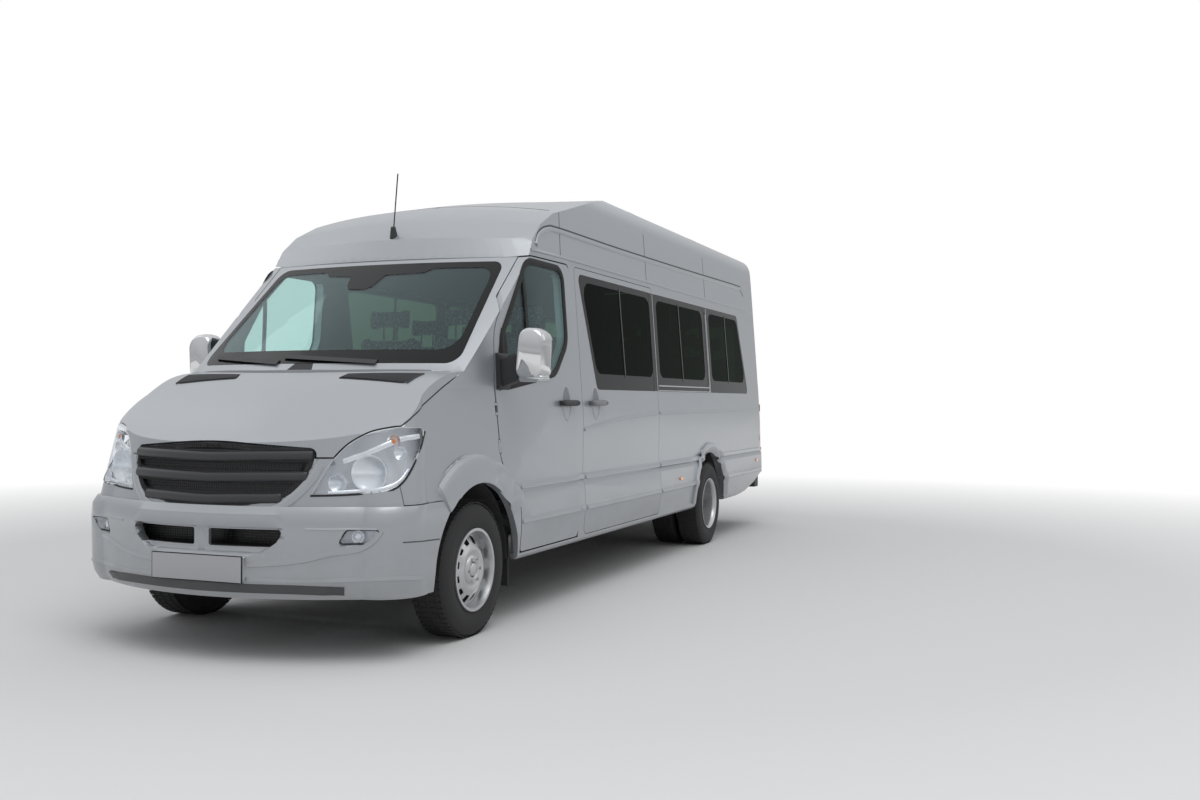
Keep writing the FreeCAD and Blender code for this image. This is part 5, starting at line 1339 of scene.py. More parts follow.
@dataclass
class FrontEnd:
    """Lamps with their insides, grille, bumper details, plate and vents."""

    slats: tuple[tuple[float, float], ...] = ((0.770, 0.415), (0.872, 0.522), (0.970, 0.522))
    lamp_axis_deg: float = 14.0
    plate_low: tuple[float, float] = (-0.268, 0.381)
    plate_high: tuple[float, float] = (0.254, 0.501)
    plate_face: float = 1.0035
    cover_wall: float = 0.003

    def lamp_covers(self) -> None:
        """Split the lamps' solids into clear covers and bowls behind them."""
        work = bmesh.new()
        work.from_mesh(frame["nodes"]["front_lamps"].data)
        bmesh.ops.remove_doubles(work, verts=work.verts, dist=2e-5)
        covers, bowls = [], []
        work.normal_update()
        outward = {1: -View.NOSE_LEFT.into, -1: -View.NOSE_RIGHT.into}
        for face in work.faces:
            middle = face.calc_center_median()
            facing = face.normal.dot(outward[1 if middle.y > 0 else -1])
            (covers if facing > 0.30 else bowls).append(face)
        self.sheet(work, covers, "lamp_covers", LAMP_GLASS)
        # the bowls' pale colour is painted light for the chrome's bright reflection
        self.sheet(work, bowls, "lamp_bowls", LAMP_BOWL_PAINTED_LIGHT)
        work.free()

    def sheet(self, work: bmesh.types.BMesh, faces: Sequence[bmesh.types.BMFace], name: str, finish: Finish) -> None:
        """Make a thin-walled piece from some faces of the lamps.

        Args:
            work: the lamps' surface.
            faces: the faces that the piece takes.
            name: the piece's name.
            finish: its finish.
        """
        numbers: dict[int, int] = {}
        places, lists = [], []
        for face in faces:
            corners = []
            for vert in face.verts:
                if vert.index not in numbers:
                    numbers[vert.index] = len(places)
                    places.append(vert.co.copy())
                corners.append(numbers[vert.index])
            lists.append(corners)
        mesh = bpy.data.meshes.new(name)
        mesh.from_pydata(places, [], lists)
        piece = finished(name, mesh, finish, "body", 30)
        thick = piece.modifiers.new("wall", "SOLIDIFY")
        thick.thickness, thick.offset = self.cover_wall, -1.0
        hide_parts("front_lamps")

    @property
    def lamp_axis(self) -> Vector:
        """Give the direction that the lamps shine in."""
        turn = math.radians(self.lamp_axis_deg)
        return Vector((math.cos(turn), math.sin(turn), 0))

    def behind_cover(self, spot: tuple[float, float], back: float) -> Vector:
        """Give the place at a distance behind a lamp's cover, at a spot across and up."""
        place, _ = SKINS.set_on(View.NOSE_LEFT, spot, ("front_lamps",))
        return place + View.NOSE_LEFT.into * back

    def bowl(self, spot: tuple[float, float], radius: float, depth: float, back: float) -> bpy.types.Mesh:
        """Make a round reflector with its rim.

        Args:
            spot: across and up, as the lamp's view shows it.
            radius: its radius.
            depth: depth of its dish.
            back: how far its rim lies behind the cover.

        Returns:
            Its mesh.
        """
        profile = [(0.0, -depth)] + [
            (radius * t, -depth * (1 - t * t)) for t in (0.2, 0.4, 0.6, 0.8, 0.92, 1.0)]
        profile += [
            (radius * 1.08, 0.002), (radius * 1.09, -0.006), (radius * 0.95, -depth * 0.3),
            (radius * 0.6, -depth * 0.85), (0.0, -depth - 0.004)]
        return lathe_mesh("bowl", profile, self.behind_cover(spot, back), self.lamp_axis, 64)

    def lens(self, spot: tuple[float, float], radius: float, back: float) -> bpy.types.Mesh:
        """Make a domed lens behind the cover."""
        profile = [(0.0, -0.004), (radius, -0.004), (radius, 0.001)]
        profile += [
            (radius * math.cos(math.radians(a)), radius * 0.5 * math.sin(math.radians(a)))
            for a in range(10, 81, 14)]
        profile.append((0.0, radius * 0.5))
        return lathe_mesh("lens", profile, self.behind_cover(spot, back), self.lamp_axis, 48)

    def lamp_insides(self) -> None:
        """Set reflectors, projector, bulbs and the bright brow in both headlamps and fog lamps."""
        reflectors = [
            self.bowl(*sizes) for sizes in (
                ((0.251, 0.888), 0.082, 0.030, 0.040), ((0.106, 0.842), 0.044, 0.022, 0.036),
                ((0.398, 0.983), 0.030, 0.018, 0.030), ((0.365, 1.040), 0.030, 0.016, 0.026))]
        brow = ribbon_mesh(
            "brow",
            curve_through([(0.130, 0.945), (0.243, 0.985), (0.33, 1.022), (0.415, 1.052), (0.490, 1.060)]),
            View.NOSE_LEFT, ("front_lamps",), 0.026, 0.004)
        brow.transform(Matrix.Translation(View.NOSE_LEFT.into * 0.030))
        shelf = ribbon_mesh(
            "shelf",
            curve_through([(0.06, 0.795), (0.16, 0.800), (0.30, 0.812), (0.39, 0.845), (0.44, 0.90)]),
            View.NOSE_LEFT, ("front_lamps",), 0.022, 0.004)
        shelf.transform(Matrix.Translation(View.NOSE_LEFT.into * 0.028))
        fog = lathe_mesh(
            "fog", [
                (0, -0.022), (0.014, -0.018), (0.022, -0.008), (0.027, 0.0), (0.029, 0.0), (0.024, -0.012),
                (0.014, -0.024), (0, -0.028)], self.behind_cover((0.200, 0.597), 0.014), -View.NOSE_LEFT.into,
            40)
        bright = joined("bright", reflectors + [brow, shelf, fog])
        lenses = joined(
            "lenses", [self.lens((0.306, 0.908), 0.036, 0.030), self.lens((0.106, 0.842), 0.020, 0.036)])
        bulbs = joined("bulbs", [self.lens((0.365, 1.040), 0.013, 0.024)])
        for name, mesh, finish, slot in (("lamp_reflectors", bright, REFLECTOR, "mirror_shell"),
                                         ("lamp_inner_lenses", lenses, LAMP_GLASS, "lamp_clear"),
                                         ("lamp_amber_bulbs", bulbs, AMBER, "lamp_clear")):
            both = joined(name, [mirrored(mesh), mesh])
            finished(name, both, finish, "body")

    def lamp_seals(self) -> None:
        """Run a dark seal round the lower edge of each headlamp."""
        skin = ("front_panel", "wings", "front_lamps", "front_bumper")
        path = curve_through([
            (-0.020, 0.786), (0.158, 0.791), (0.325, 0.806), (0.392, 0.833), (0.443, 0.895), (0.492, 0.994),
            (0.520, 1.082)])
        seal = ribbon_mesh("seal", path, View.NOSE_LEFT, skin, 0.010, 0.004)
        ring = rounded([
            (0.105, 0.566, 0.012), (0.275, 0.566, 0.030), (0.305, 0.632, 0.015), (0.150, 0.632, 0.020)])
        fog = ribbon_mesh(
            "fog_seal", ring, View.NOSE_LEFT, ("front_bumper", "front_lamps"), 0.007, 0.003, closed=True,
            step=0.01)
        seal = joined("seal", [seal, fog])
        finished("lamp_seals", joined("seals", [mirrored(seal), seal]), SEAL, "body")

    def grille(self) -> None:
        """Lay the three thick slats, the mesh between them and the painted surround."""
        slats = []
        for level, half in self.slats:
            path = [
                (-half, level + 0.004), (-half * 0.5, level), (-0.03, level - 0.006), (0, level - 0.0065),
                (0.03, level - 0.006), (half * 0.5, level), (half, level + 0.004)]
            slats.append(ribbon_mesh(
                "slat", path, View.FRONT, ("grille",), 0.046, 0.014, 0.010, section=SLAT))
        finished("grille_slats", joined("slats", slats), SLAT_GREY, "body")
        self.grille_mesh()
        edge = [
            (0.0, 0.684), (0.20, 0.688), (0.36, 0.715), (0.455, 0.775), (0.525, 0.860), (0.560, 0.945),
            (0.566, 1.000)]
        outline = curve_through([(-u, v) for u, v in edge[::-1]] + edge[1:])
        surround = ribbon_mesh("surround", outline, View.FRONT, ("front_panel", "front_lamps"), 0.046, 0.010)
        finished("grille_surround", surround, SILVER, "body")

    def grille_mesh(self) -> None:
        """Weave the grille's mesh from small crossed bars, and bend it to the nose."""
        work = Repeat("grille_weave", GRILLE_BLACK)
        grid = work.node(
            "GeometryNodeMeshGrid", Size_X=work.named("Height", "Float", 0.310),
            Size_Y=work.named("Width", "Float", 1.040), Vertices_X=work.named("Rows", "Int", 24),
            Vertices_Y=work.named("Columns", "Int", 80))
        stood = work.node(
            "GeometryNodeTransform", Geometry=grid.outputs[0],
            Rotation=work.named("Turn", "Vector", (0.0, math.pi / 2, 0.0)))
        bars = [
            work.node("GeometryNodeMeshCube", Size=work.named(label, "Vector", size)).outputs[0]
            for label, size in (
                ("Rising bar", (0.004, 0.0022, 0.0160)), ("Level bar", (0.004, 0.0160, 0.0022)))]
        cross = work.node("GeometryNodeJoinGeometry")
        for bar in bars:
            work.tree.links.new(bar, cross.inputs[0])
        mesh = work.mesh(stood.outputs[0], cross.outputs[0])
        mesh.transform(Matrix.Translation(Vector((0, 0, 0.870))))
        per = 16
        kept: list[int] = []
        places = [v.co.copy() for v in mesh.vertices]
        for start in range(0, len(places), per):
            middle = sum((places[start + i] for i in range(per)), Vector()) / per
            found = SKINS.hit(*View.FRONT.line(middle.y, middle.z), ("grille",))
            if found is None:
                continue
            kept.append(start)
            for i in range(per):
                places[start + i].x += found[0].x + 0.001
        numbers = {start: index * per for index, start in enumerate(kept)}
        points = [places[start + i] for start in kept for i in range(per)]
        faces = [
            [numbers[v // per * per] + v % per for v in polygon.vertices] for polygon in mesh.polygons
            if polygon.vertices[0] // per * per in numbers]
        finished("grille_weave", closed_mesh("grille_weave", points, faces), GRILLE_BLACK, "body")

    def plate(self) -> None:
        """Fix the blank number plate in its thin frame."""
        low, high, face = self.plate_low, self.plate_high, self.plate_face
        border = block_mesh(
            "border", at(face - 0.004, low[0] - 0.006, low[1] - 0.005),
            at(face + 0.0015, high[0] + 0.006, high[1] + 0.005), 0.003)
        finished("plate_frame", border, SEAL, "body")
        blank = block_mesh(
            "blank", at(face - 0.003, low[0], low[1]), at(face + 0.0035, high[0], high[1]), 0.0015)
        finished("plate_blank", blank, PLATE, "body")

    def bumper(self) -> None:
        """Back the air openings, darken the valance and raise the bumper's lines."""
        back = [
            block_mesh("back", at(0.845, -0.45, 0.535), at(0.850, 0.45, 0.640), 0.001),
            row_of_bars(
                "intake_rising", GRILLE_BLACK, 60, at(0.858, -0.442, 0.588), Vector((0, 0.015, 0)),
                (0.004, 0.0025, 0.100)),
            row_of_bars(
                "intake_level", GRILLE_BLACK, 8, at(0.862, 0.0, 0.543), Vector((0, 0, 0.0125)),
                (0.004, 0.90, 0.0025))]
        finished("intake_mesh", joined("intake_mesh", back), GRILLE_BLACK, "body")
        valance = ribbon_mesh(
            "valance",
            curve_through([(-0.700, 0.342), (-0.45, 0.352), (0.0, 0.352), (0.45, 0.352), (0.700, 0.342)]),
            View.FRONT, ("front_bumper",), 0.044, 0.002, section=FLAT)
        finished("valance", valance, VALANCE_GREY, "body")
        skin, lines = ("front_bumper",), []
        for path, width, height in (
            ([(247.7, 564.7), (275.9, 563.4), (305.0, 559.8), (331.0, 553.6), (357.0, 550.0), (372.3, 542.0),
              (381.5, 530.4)], 0.028, 0.006),
            ([(305.0, 528.9), (324.9, 529.2), (346.3, 528.9), (376.9, 529.2)], 0.010, 0.004),
            ([(245.3, 579.4), (294.3, 581.5), (355.5, 580.0), (401.4, 578.7), (422.8, 578.1)], 0.020, 0.005),
        ):
            lines.append(ribbon_mesh(
                "line", curve_through(path), PHOTO, skin, width, height, step=3.0, section=STEP))
        finished(
                "bumper_lines", joined("lines", [mirrored(mesh) for mesh in lines] + lines), SILVER, "body")
        seam = ribbon_mesh(
            "seam", [(402.9, 542.6), (421.3, 541.4), (439.7, 539.0)], PHOTO, skin, 0.006, 0.001, step=3.0,
            section=FLAT)
        finished("bumper_seams", joined("seams", [mirrored(seam), seam]), JOINT_SHADE, "body")

    def vents(self) -> None:
        """Set a slatted air vent on each side of the bonnet."""
        corners = [(0.332, 0.320, 0.012), (0.327, 0.712, 0.020), (0.176, 0.764, 0.012), (0.262, 0.345, 0.012)]
        bed = patch_mesh("bed", rounded(corners), View.TOP, ("bonnet",), 0.0012, 0.003, 0.04)
        slats = []
        for number in range(23):
            y = 0.345 + number * 0.0178
            rear = 0.262 + (0.176 - 0.262) * (y - 0.345) / 0.42
            slats.append(ribbon_mesh(
                "slat", [(0.322, y - 0.006), (max(rear, 0.18) + 0.012, y + 0.012)], View.TOP, ("bonnet",),
                0.0075, 0.0065, section=FLAT))
        for name, mesh, finish in (("vent_beds", bed, SEAL),
                                   ("vent_slats", joined("slats", slats), SLAT_GREY)):
            piece = finished(name, joined(name, [mirrored(mesh), mesh]), finish, "bonnet")

    def build(self) -> None:
        """Make the whole nose."""
        self.lamp_covers()
        self.lamp_insides()
        self.lamp_seals()
        self.grille()
        self.plate()
        self.bumper()
        self.vents()


@dataclass
class RearEnd:
    """Bands of the tail lamps, the rear doors' handle, the blank rear plate and its lamp."""

    lamp_bands: tuple[tuple[float, float, Finish], ...] = ((0.80, 0.070, AMBER), (0.30, 0.060, REFLECTOR))
    handle: tuple[float, float] = (-0.115, 1.130)
    plate_low: tuple[float, float] = (0.105, 0.800)
    plate_high: tuple[float, float] = (0.625, 0.911)

    def on_door(self, spot: tuple[float, float], node: str) -> Vector:
        """Give the place on a rear door's skin at a spot across and up."""
        return SKINS.set_on(View.REAR, spot, (node,))[0]

    def lamps(self) -> None:
        """Lay the amber and clear bands across both tail lamps."""
        low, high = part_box("tail_lamps")
        for share, width, finish in self.lamp_bands:
            level = low.z + (high.z - low.z) * share
            bands = [
                ribbon_mesh(
                    "band", [(side.value * (high.y - 0.012), level), (side.value * (high.y - 0.070), level)],
                    View.REAR, ("tail_lamps",), width, 0.0025, section=FLAT) for side in Side]
            piece = finished("tail_lamp_band_" + finish.name, joined("bands", bands), finish, "body")

    def furniture(self) -> None:
        """Set the handle on the right rear door, and the plate with its lamp on the left one."""
        place = self.on_door(self.handle, "rear_door_right")
        bar = block_mesh(
            "bar", place + Vector((-0.034, -0.014, -0.075)), place + Vector((-0.014, 0.014, 0.075)), 0.008)
        base = block_mesh(
            "base", place + Vector((-0.016, -0.024, -0.095)), place + Vector((0.003, 0.024, 0.095)), 0.010)
        piece = finished(
            "rear_handle", joined("handle", [bar, base]), TRIM_BLACK, body_of_node("rear_door_right"))
        low, high = self.plate_low, self.plate_high
        place = self.on_door(((low[0] + high[0]) / 2, (low[1] + high[1]) / 2), "rear_door_left")
        blank = block_mesh("blank", Vector((place.x - 0.006, *low)), Vector((place.x + 0.004, *high)), 0.0015)
        body = body_of_node("rear_door_left")
        finished("rear_plate_blank", blank, PLATE, body)
        cover = block_mesh(
            "cover", Vector((place.x - 0.026, low[0] + 0.14, high[1] + 0.012)),
            Vector((place.x + 0.006, high[0] - 0.14, high[1] + 0.046)), 0.008)
        finished("rear_plate_lamp", cover, TRIM_BLACK, body)

    def build(self) -> None:
        """Make the rear end's details."""
        self.lamps()
        self.furniture()


@dataclass
class Wheels:
    """Steel wheels with windows, rings and nuts, and the tyres' tread."""

    front_windows: int = 12
    disc_turns: int = 144
    rim_half: float = 0.1025
    rim_radius: float = 0.216
    rear_middle: float = 0.872
    rear_dish: float = -0.086
    tyre_radius: float = 0.350
    tread_blocks: int = 64
    shoulder_block: Point = (0.006, 0.026, 0.030)
    rib_block: Point = (0.006, 0.028, 0.034)

    def disc(self, name: str, centre: Vector, out: float, profile: Plan, window: tuple[int, int], pitch: int,
             hole: tuple[int, int], wall: float, body: str) -> None:
        """Turn a wheel's disc and cut its windows.

        Args:
            name: the piece's name.
            centre: the wheel's middle.
            out: 1 or -1, the side that it faces.
            profile: radius and distance outwards of its face, from the hub outwards.
            window: the first and last ring of faces that the windows take.
            pitch: facets from a window to the next.
            hole: the first and last facet of a pitch that a window takes.
            wall: thickness of the sheet.
            body: the body that carries it.
        """
        work = bmesh.new()
        rings = []
        for radius, along in profile:
            ring = []
            for number in range(self.disc_turns):
                angle = math.tau * number / self.disc_turns
                ring.append(work.verts.new(
                    centre + Vector((radius * math.cos(angle), out * along, radius * math.sin(angle)))))
            rings.append(ring)
        for row, (inner, outer) in enumerate(zip(rings, rings[1:])):
            for number in range(self.disc_turns):
                if window[0] <= row <= window[1] and hole[0] <= number % pitch <= hole[1]:
                    continue
                after = (number + 1) % self.disc_turns
                corners = [inner[number], inner[after], outer[after], outer[number]]
                work.faces.new(corners if out < 0 else corners[::-1])
        for vert in [v for v in work.verts if not v.link_faces]:
            work.verts.remove(vert)
        mesh = bpy.data.meshes.new(name)
        work.to_mesh(mesh)
        work.free()
        piece = finished(name, mesh, WHEEL_SILVER, body, 50)
        thick = piece.modifiers.new("wall", "SOLIDIFY")
        thick.thickness, thick.offset = wall, -1.0
        soft = piece.modifiers.new("soft", "SUBSURF")
        soft.levels = soft.render_levels = 1

    def front(self, side: Side) -> None:
        """Dress one front wheel: rim well, pierced disc, hub rings and nuts."""
        out, body = float(side.value), "front_wheel_" + side.word
        centre = centre_of("front_tyre_" + side.word)
        half, rim = self.rim_half, self.rim_radius
        well = [
            (rim - 0.014, half - 0.001), (rim - 0.004, half + 0.001), (rim + 0.001, half - 0.001),
            (rim + 0.001, half - 0.0095), (rim - 0.0113, half - 0.016), (rim - 0.0113, 0.016 - half),
            (rim, 0.0095 - half), (rim, 0.002 - half), (rim - 0.012, 0.002 - half),
            (rim - 0.020, 0.016 - half), (rim - 0.022, 0.0), (rim - 0.022, half - 0.030),
            (rim - 0.018, half - 0.014)]
        axis = Vector((0, out, 0))
        piece = finished(
            f"front_rim_well_{side.word}", lathe_mesh("well", well, centre, axis), WHEEL_SILVER, body)
        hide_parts("front_rim_" + side.word)
        face = [
            (0.040, half - 0.022), (0.052, half - 0.012), (0.066, half - 0.012), (0.072, half - 0.020),
            (0.076, half - 0.027), (0.086, half - 0.026), (0.102, half - 0.016), (0.112, half - 0.017),
            (0.124, half - 0.026), (0.136, half - 0.031), (0.146, half - 0.037), (0.160, half - 0.048),
            (0.174, half - 0.058), (0.184, half - 0.062), (rim - 0.022, half - 0.062)]
        pitch = self.disc_turns // self.front_windows
        self.disc(f"front_disc_{side.word}", centre, out, face, (9, 11), pitch, (3, 8), 0.0045, body)
        cap = [
            (0, half - 0.004), (0.026, half - 0.006), (0.034, half - 0.012), (0.040, half - 0.030),
            (0.040, half - 0.060), (0, half - 0.060)]
        nuts = ring_of_pegs(
            "wheel_nuts", CHROME, 6, 0.0615, 0.0095, 0.022, 6, centre + axis * (half - 0.008), out)
        piece = finished(
            f"front_hub_{side.word}", joined("hub", [lathe_mesh("cap", cap, centre, axis, 48), nuts]),
            WHEEL_SILVER, body)
        drum = lathe_mesh(
            "drum", [(0, 0.006), (0.168, 0.006), (0.172, 0.0), (0.172, -0.030), (0, -0.030)], centre, axis,
            64)
        finished(f"brake_disc_{side.word}", drum, BRAKE, body)

    def rear(self, side: Side) -> None:
        """Dress one side's twin rims: deep dish with dark discs of painted shade for windows, hub and nuts."""
        out, body = float(side.value), body_of_node("rear_rims_" + side.word)
        centre = Vector((AXLE_X + REAR_X, out * self.rear_middle, HUB_Z))
        axis = Vector((0, out, 0))
        skin = finished(
            f"rear_rims_skin_{side.word}", Shell().merged_copy("rear_rims_" + side.word), WHEEL_SILVER, body,
            30)
        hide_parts("rear_rims_" + side.word)
        base = self.rear_dish
        # flat dark discs stand in for the dish's windows: painted shade where the holes would show the dark inside
        spots = ring_of_pegs(
            "rear_windows", SEAL, 8, 0.152, 0.021, 0.010, 20, centre + axis * (base + 0.001), out)
        finished(f"rear_disc_windows_{side.word}", spots, SEAL, body)
        nuts = ring_of_pegs(
            "rear_nuts", CHROME, 6, 0.094, 0.0105, 0.024, 6, centre + axis * (base - 0.006), out)
        hub = lathe_mesh(
            "hub", [
                (0, base + 0.080), (0.040, base + 0.078), (0.050, base + 0.070), (0.054, base - 0.010),
                (0, base - 0.010)], centre, axis, 48)
        finished(f"rear_hub_{side.word}", joined("hub", [nuts, hub]), CASTING, body)

    def tread(self, node: str, middle_y: float, body: str, name: str) -> None:
        """Lay two rows of shoulder blocks and two rows of rib blocks on a tyre.

        Args:
            node: the tyre's node.
            middle_y: the tyre's middle.
            body: the body that carries it.
            name: the piece's name.
        """
        centre = Vector((centre_of(node).x, middle_y, HUB_Z))
        meshes = []
        for shift, size in ((-0.068, self.shoulder_block), (0.068, self.shoulder_block),
                            (-0.027, self.rib_block), (0.027, self.rib_block)):
            work = Repeat(name, TYRE_RUBBER)
            ring = work.node(
                "GeometryNodeMeshCircle", Vertices=work.named("Count", "Int", self.tread_blocks),
                Radius=work.named("Tread radius", "Float", self.tyre_radius))
            block = work.node("GeometryNodeMeshCube", Size=work.named("Block size", "Vector", size))
            place = work.node("GeometryNodeInputPosition")
            turn = work.node("FunctionNodeAlignRotationToVector", {"axis": "X"}, Vector=place.outputs[0])
            mesh = work.mesh(ring.outputs[0], block.outputs[0], turn.outputs[0])
            mesh.transform(
                Matrix.Translation(centre + Vector((0, shift, 0))) @ Matrix.Rotation(math.pi / 2, 4, "X"))
            meshes.append(mesh)
        finished(name, joined(name, meshes), TYRE_RUBBER, body)

    def build(self) -> None:
        """Dress all wheels."""
        for side in Side:
            self.front(side)
            self.rear(side)
            word, out = side.word, side.value
            self.tread(
                "front_tyre_" + word, centre_of("front_tyre_" + word).y, "front_wheel_" + word,
                "front_tread_" + word)
            between = centre_of("rear_tyres_" + word).y
            outer = self.rear_middle * out
            for row, middle in (("outer", outer), ("inner", 2 * between - outer)):
                self.tread(
                    "rear_tyres_" + word, middle, body_of_node("rear_tyres_" + word),
                    f"rear_tread_{row}_{word}")


@dataclass
class Mirrors:
    """Door mirrors with bright housings on black arms."""

    front: float = -0.310
    rear: float = -0.435

    def build_side(self, side: Side) -> None:
        """Make one mirror: rounded shell, lower lip, glass at its back and its arm."""
        body = "front_door_" + side.word
        outline = rounded(
            [(1.020, 1.350, 0.05), (1.195, 1.335, 0.07), (1.208, 1.632, 0.085), (1.046, 1.645, 0.06)], 8, 6)
        layers = [
            (self.front + 0.003, 0.84), (self.front - 0.004, 0.91), (self.front - 0.018, 0.965),
            (self.front - 0.045, 0.995), (self.front - 0.085, 1.0), (self.rear + 0.004, 0.97),
            (self.rear, 0.93)]
        shell = self.layered(outline, layers, side)
        lip = self.layered(
            rounded([(1.050, 1.340, 0.02), (1.190, 1.338, 0.03), (1.196, 1.376, 0.02), (1.050, 1.372, 0.02)]),
            [
                (self.front + 0.001, 0.9), (self.front - 0.006, 1.02), (self.front - 0.07, 1.05),
                (self.front - 0.10, 1.0)], side)
        piece = finished(f"mirror_shell_{side.word}", joined("shell", [shell, lip]), CHROME, body, 40)
        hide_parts("mirror_" + side.word)
        glass = self.layered(
            outline, [(self.rear, 0.90), (self.rear - 0.003, 0.90), (self.rear - 0.004, 0.88)], side)
        finished(f"mirror_glass_{side.word}", glass, CHROME, body)
        arm_low = [
            (0.905, 1.300, 0.01), (1.030, 1.345, 0.012), (1.045, 1.470, 0.02), (1.015, 1.500, 0.02),
            (0.900, 1.445, 0.02)]
        arm = self.layered(
            rounded(arm_low), [(-0.335, 0.92), (-0.340, 1.0), (-0.402, 1.0), (-0.408, 0.92)], side)
        foot = self.layered(
            rounded([(0.895, 1.290, 0.01), (0.940, 1.300, 0.02), (0.932, 1.500, 0.02), (0.880, 1.500, 0.01)]),
            [(-0.318, 0.95), (-0.325, 1.0), (-0.440, 1.0), (-0.447, 0.95)], side)
        piece = finished(f"mirror_arm_{side.word}", joined("arm", [arm, foot]), TRIM_BLACK, body)

    def layered(self, outline: Plan, layers: Sequence[tuple[float, float]], side: Side) -> bpy.types.Mesh:
        """Loft an outline, seen from the front, through layers of x and size.

        Args:
            outline: across and up.
            layers: x and size of each layer, from the front.
            side: the side of the vehicle.

        Returns:
            The closed mesh.
        """
        middle, rings = middle_of(outline), []
        for x, size in layers:
            moved = [middle + (Vector(spot) - middle) * size for spot in outline]
            rings.append([at(x, spot.x * side.value, spot.y) for spot in moved])
        return loft_mesh("layers", rings)

    def build(self) -> None:
        """Make both mirrors."""
        for side in Side:
            self.build_side(side)


@dataclass
class Seats:
    """Padded seats, whose cushions and backs are inflated as cloth."""

    voxel: float = 0.012
    cap: float = 0.024
    floor: float = 0.640
    cab: tuple[tuple[float, float, float], ...] = (
        (-0.830, -0.420, 0.500), (-0.760, 0.170, 0.430), (-0.760, 0.610, 0.430))
    rows: int = 5
    pitch: float = 0.790
    first_row: float = -1.700
    width: float = 0.420
    cloth_frames: int = 20
    pressure: float = 4.0
    stiffness: float = 18.0
    groove_reach: float = 0.035
    groove_depth: float = 0.007
    arch_span: tuple[float, float] = (-4.9, -3.9)
    arch_height: float = 0.22

    def row_seats(self) -> list[tuple[float, float]]:
        """Give each passenger seat's front and middle; the last row has one seat more."""
        seats = []
        for row in range(self.rows):
            middles = (-0.636, 0.212, 0.636) if row < self.rows - 1 else (-0.636, -0.212, 0.212, 0.636)
            seats += [(self.first_row - row * self.pitch, middle) for middle in middles]
        return seats

    def inflated(self, name: str, mesh: bpy.types.Mesh) -> bpy.types.Mesh:
        """Swell a pad by cloth pressure.

        Args:
            name: the pad's name.
            mesh: its starting shape.

        Returns:
            The swollen mesh.
        """
        pad = bpy.data.objects.new(name, mesh)
        bpy.context.scene.collection.objects.link(pad)
        remesh = pad.modifiers.new("even", "REMESH")
        remesh.mode, remesh.voxel_size = "VOXEL", self.voxel
        start = bpy.data.meshes.new_from_object(pad.evaluated_get(bpy.context.evaluated_depsgraph_get()))
        pad.modifiers.clear()
        pad.data = start
        before = [v.co.copy() for v in start.vertices]
        cloth = pad.modifiers.new("cloth", "CLOTH")
        cloth.settings.quality = 5
        cloth.settings.use_pressure = True
        cloth.settings.uniform_pressure_force = self.pressure
        cloth.settings.effector_weights.gravity = 0.0
        cloth.settings.tension_stiffness = cloth.settings.compression_stiffness = self.stiffness
        cloth.settings.bending_stiffness = 1.2
        scene = bpy.context.scene
        for number in range(1, self.cloth_frames + 1):
            scene.frame_set(number)
        swollen = bpy.data.meshes.new_from_object(pad.evaluated_get(bpy.context.evaluated_depsgraph_get()))
        scene.frame_set(1)
        for vert, old in zip(swollen.vertices, before):
            move = vert.co - old
            if move.length > self.cap:
                vert.co = old + move.normalized() * self.cap
        pad.modifiers.clear()
        bpy.data.objects.remove(pad)
        return swollen

    def pad(self, name: str, outline: Sequence[Corner], width: float,
            grooves: Sequence[float]) -> bpy.types.Mesh:
        """Make one pad from its side outline, with bolsters and sewn channels.

        Args:
            name: its name.
            outline: distance back, height and radius of each corner.
            width: its width.
            grooves: places of its sewn channels across, as shares of the width.

        Returns:
            The mesh about the seat's own front and floor.
        """
        side = rounded(outline, 6, 3)
        layers = (-0.5, -0.47, -0.38, -0.34, -0.2, 0.0, 0.2, 0.34, 0.38, 0.47, 0.5)
        sizes = {0.5: 0.86, 0.47: 0.97, 0.38: 1.0, 0.34: 0.97, 0.2: 0.95, 0.0: 0.95}
        middle, rings = middle_of(side), []
        for across in layers:
            moved = [middle + (Vector(spot) - middle) * sizes[abs(across)] for spot in side]
            rings.append([Vector((-spot.x, across * width, spot.y)) for spot in moved])
        mesh = self.inflated(name, loft_mesh(name, rings))
        for vert in mesh.vertices:
            for groove in grooves:
                off = abs(vert.co.y / width - groove)
                if off < self.groove_reach:
                    inwards = (Vector((-middle.x, vert.co.y, middle.y)) - vert.co).normalized()
                    vert.co += inwards * self.groove_depth * (1 - off / self.groove_reach)
        return mesh

    def build(self) -> None:
        """Make the seats' pads and frames, the cab's and the rows'."""
        cushion = self.pad(
            "cushion", [
                (0.0, 0.345, 0.04), (-0.005, 0.420, 0.05), (0.200, 0.398, 0.3), (0.405, 0.400, 0.04),
                (0.430, 0.345, 0.03)], 0.400, (-0.31, 0.31))
        back = self.pad(
            "back", [
                (0.400, 0.380, 0.04), (0.478, 0.380, 0.03), (0.572, 0.985, 0.05), (0.566, 1.035, 0.04),
                (0.520, 1.035, 0.03), (0.440, 0.700, 0.4)], 0.400, (-0.31, 0.31))
        head = self.pad(
            "head", [(0.512, 1.075, 0.03), (0.560, 1.075, 0.03), (0.578, 1.205, 0.03), (0.530, 1.208, 0.03)],
            0.250, ())
        pads = (cushion, back, head)
        cab = [self.moved(pads, front, middle, width / self.width) for front, middle, width in self.cab]
        self.place("cab_seat_pads", [m for group in cab for m in group], "cab_seats", 1)
        rows = [mesh for front, middle in self.row_seats() for mesh in self.moved(pads, front, middle, 1.0)]
        self.place("passenger_seat_pads", rows, "passenger_seats", 0)
        self.frames()

